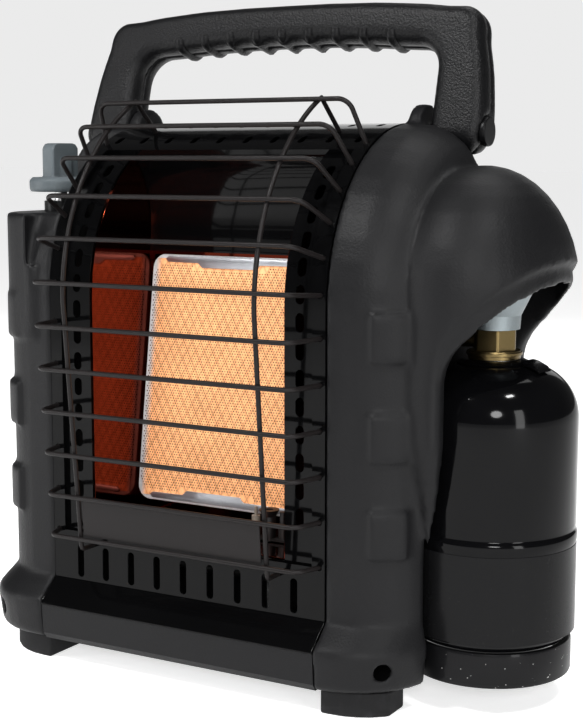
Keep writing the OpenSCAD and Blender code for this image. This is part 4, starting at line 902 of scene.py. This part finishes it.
class HEATER_OT_cylinder(bpy.types.Operator):
    """Gas cylinder: turned body with its rolled joint, boot, wrap, collar and tab"""

    bl_idname = "heater.cylinder"
    bl_label = "Cylinder"

    centre = at_case(160, 0, 0)
    radius, low, crown, joint = 47.3, 32.4, 190.0, 94.4

    def execute(self, context):
        r, z0, z1, j = self.radius, self.low, self.crown, self.joint
        body = [(0, z0)] + arc(r - 14, z0 + 14, 14, -90, 0, 12)
        body += [(r, j - 4.6), (r + 0.35, j - 3.4), (r + 0.7, j - 1.2), (r + 0.7, j + 1.2)]
        body += [(r + 0.35, j + 2.8), (r - 0.4, j + 3.6), (r - 0.6, j + 4.6), (r, j + 6.5)]
        body += arc(r - 30, z1 - 30, 30, 0, 90, 24) + [(13.4, z1), (13.4, z1 - 2), (0, z1 - 2)]
        mesh = turned_mesh("can", body, self.centre)
        piece("can_body", mesh, "cylinder", "cylinder_paint", ["cylinder_body"])
        boot = [
            (42.4, 16.4), (44.6, 16.4), (45.4, 17), (45.8, 18.2), (45.8, 34.4), (45.4, 35.8),
            (44.4, 36.3), (43.2, 36.2), (42.4, 34.6),
        ]
        mesh = turned_mesh("boot", boot, self.centre)
        piece("can_boot", mesh, "cylinder", "boot_paint", ["cylinder_foot"])
        wrap = [(r + 0.06, 41), (r + 0.36, 41.1), (r + 0.36, j - 4.4), (r + 0.06, j - 4.3)]
        mesh = turned_mesh("wrap", wrap, self.centre)
        piece("can_wrap", mesh, "cylinder", "cylinder_wrap", ["cylinder_band"])
        collar = [(12.8, 190), (20.8, 190), (21, 190.5), (19, 191.2), (17.2, 192), (12.8, 192)]
        mesh = turned_mesh("collar", collar, self.centre, 64)
        piece("can_collar", mesh, "cylinder", "cylinder_paint", ["neck_collar"])
        mesh = edged_mesh(["collar_tab"], 0.5 * MM)
        piece("can_tab", mesh, "cylinder", "cylinder_paint", ["collar_tab"])
        return {"FINISHED"}


class HEATER_OT_regulator(bpy.types.Operator):
    """Brass inlet nut with rounded edges"""

    bl_idname = "heater.regulator"
    bl_label = "Regulator"

    def execute(self, context):
        mesh = edged_mesh(["inlet_nut"], 0.35 * MM)
        piece("brass_nut", mesh, "regulator", "brass", ["inlet_nut"])
        return {"FINISHED"}


class HEATER_OT_fasteners(bpy.types.Operator):
    """Cross recessed screw heads of the handle"""

    bl_idname = "heater.fasteners"
    bl_label = "Screws"

    radius, height, along = 3.5, 1.6, (-90, -30, 30, 90)
    rear, middle = 13.3, 67.6           # the grip's rear face and the middle of its height

    def head(self, r, h):
        """A domed head with a cross recess, standing on the plane Z = 0"""
        sides = 24
        star = [1.75 if i % 6 == 0 else 0.55 for i in range(sides)]
        rings = [
            ([0.3] * sides, h * 0.45), ([v * 0.9 for v in star], h * 0.5), (star, h),
            ([r * 0.8] * sides, h * 0.9), ([r * 0.96] * sides, h * 0.6), ([r] * sides, 0),
        ]
        turns = [i * math.tau / sides for i in range(sides)]
        bm = bmesh.new()
        made = [[
            bm.verts.new((q * MM * math.cos(a), q * MM * math.sin(a), z * MM))
            for q, a in zip(reach, turns)
        ] for reach, z in rings]
        for low, high in zip(made, made[1:]):
            for i in range(sides):
                bm.faces.new([low[i], high[i], high[(i + 1) % sides], low[(i + 1) % sides]])
        bm.faces.new(made[0])
        bm.faces.new(list(reversed(made[-1])))
        bmesh.ops.recalc_face_normals(bm, faces=bm.faces)
        mesh = to_mesh(bm, "head")
        mesh.shade_smooth()
        mesh.set_sharp_from_angle(angle=math.radians(40))
        return mesh

    def execute(self, context):
        name, steel = "handle_screw_heads", "bright_steel"
        places = [at_handle(x, self.rear, self.middle) for x in self.along]
        turn = (-math.pi / 2 - HANDLE_LEAN, 0, 0)
        mesh = repeated(name, places, self.head(self.radius, self.height), turn, steel)
        piece(name, mesh, "handle", steel, ["handle_screws"])
        return {"FINISHED"}


class HEATER_OT_stage(bpy.types.Operator):
    """Pale floor, soft studio lights and the camera"""

    bl_idname = "heater.stage"
    bl_label = "Stage"

    lamps = (
        # name, place, target, size and watts
        ("right high", (0.8, -0.42, 1.44), (0, 0, 0.2), (0.22, 0.12), 9),
        ("left high", (-0.4, -0.9, 1.39), (0, 0, 0.2), (0.26, 0.14), 16),
        ("right wall", (1.35, -0.75, 0.45), (0.1, 0, 0.3), (0.3, 0.9), 8),
        ("left wall", (-1.35, -1.0, 0.5), (0, 0, 0.2), (0.3, 1.0), 11),
        ("rear box", (0.1, 0.6, 1.5), (0, 0, 0.25), (0.9, 0.5), 5),
        ("rear glow", (-0.7, 1.7, 0.8), (0, 0, 0.3), (1.8, 0.7), 3.5),
    )
    sky_watts, sky_angle, sky_way = 1.5, math.radians(14), (-0.4, 0.8, -0.36)
    floor_reach, room_light, backdrop = 30, 0.08, (0.83, 0.83, 0.83, 1)
    camera_place, camera_look = (480.19, -780.92, 303.28), (-0.49557, 0.85835, -0.13287)
    camera_lens = 75.618

    def add(self, data, place, look):
        obj = bpy.data.objects.new(data.name, data)
        obj.location = place
        obj.rotation_euler = Vector(look).to_track_quat("-Z", "Y").to_euler()
        bpy.context.scene.collection.objects.link(obj)
        return obj

    def lamp(self, name, place, target, size, watts):
        data = bpy.data.lights.new(name, "AREA")
        data.shape = "RECTANGLE"
        data.size, data.size_y = size
        data.energy = watts
        obj = self.add(data, place, Vector(target) - Vector(place))
        obj.visible_camera = False

    def floor(self):
        r = self.floor_reach
        mesh = bpy.data.meshes.new("floor")
        mesh.from_pydata([(-r, -r, 0), (r, -r, 0), (r, r, 0), (-r, r, 0)], [], [(0, 1, 2, 3)])
        floor = bpy.data.objects.new("floor", mesh)
        bpy.context.scene.collection.objects.link(floor)
        f = Finish("floor_paper")
        f.set(base_color=(0.9, 0.9, 0.9), roughness=0.9)
        f.shader.inputs["Emission Color"].default_value = (1, 1, 1, 1)
        f.shader.inputs["Emission Strength"].default_value = 0.6
        mesh.materials.append(f.material)

    def world(self):
        """A dim room for light and reflections, in front of a pale backdrop"""
        world = bpy.data.worlds.new("studio")
        world.use_nodes = True
        nodes, links = world.node_tree.nodes, world.node_tree.links
        dim = nodes["Background"]
        dim.inputs["Color"].default_value = (1, 1, 1, 1)
        dim.inputs["Strength"].default_value = self.room_light
        pale = nodes.new("ShaderNodeBackground")
        pale.inputs["Color"].default_value = self.backdrop
        seen, both = nodes.new("ShaderNodeLightPath"), nodes.new("ShaderNodeMixShader")
        links.new(seen.outputs["Is Camera Ray"], both.inputs["Fac"])
        links.new(dim.outputs[0], both.inputs[1])
        links.new(pale.outputs[0], both.inputs[2])
        links.new(both.outputs[0], nodes["World Output"].inputs[0])
        return world

    def execute(self, context):
        scene = context.scene
        self.floor()
        scene.world = self.world()
        scene.view_settings.view_transform = "Standard"
        for lamp in self.lamps:
            self.lamp(*lamp)
        sun = bpy.data.lights.new("sky", "SUN")
        sun.energy, sun.angle = self.sky_watts, self.sky_angle
        self.add(sun, (0, 0, 0), self.sky_way)
        camera = bpy.data.cameras.new("camera")
        camera.lens = self.camera_lens
        camera.sensor_width = 36
        camera.clip_end = 100
        scene.camera = self.add(camera, at_case(*self.camera_place), self.camera_look)
        return {"FINISHED"}


OPERATORS = (
    HEATER_OT_finishes, HEATER_OT_shells, HEATER_OT_handle, HEATER_OT_knob, HEATER_OT_front,
    HEATER_OT_guard, HEATER_OT_burner, HEATER_OT_cylinder, HEATER_OT_regulator,
    HEATER_OT_fasteners, HEATER_OT_stage,
)


class HEATER_PT_panel(bpy.types.Panel):
    """Sizes, colours and pieces of the heater"""

    bl_idname = "HEATER_PT_panel"
    bl_label = "Heater"
    bl_space_type = "VIEW_3D"
    bl_region_type = "UI"
    bl_category = "Heater"

    def draw(self, context):
        for group in (context.scene.heater_sizes, context.scene.heater_colours):
            for key in group.__annotations__:
                self.layout.prop(group, key)
        for operator in OPERATORS:
            self.layout.operator(operator.bl_idname)


CLASSES = (HeaterSizes, HeaterColours, *OPERATORS, HEATER_PT_panel)


def register():
    for item in CLASSES:
        bpy.utils.register_class(item)
    bpy.types.Scene.heater_sizes = PointerProperty(type=HeaterSizes)
    bpy.types.Scene.heater_colours = PointerProperty(type=HeaterColours)


def unregister():
    del bpy.types.Scene.heater_colours
    del bpy.types.Scene.heater_sizes
    for item in reversed(CLASSES):
        bpy.utils.unregister_class(item)


def main():
    register()
    for operator in OPERATORS:
        getattr(bpy.ops.heater, operator.bl_idname.split(".")[1])()


if __name__ == "__main__":
    main()
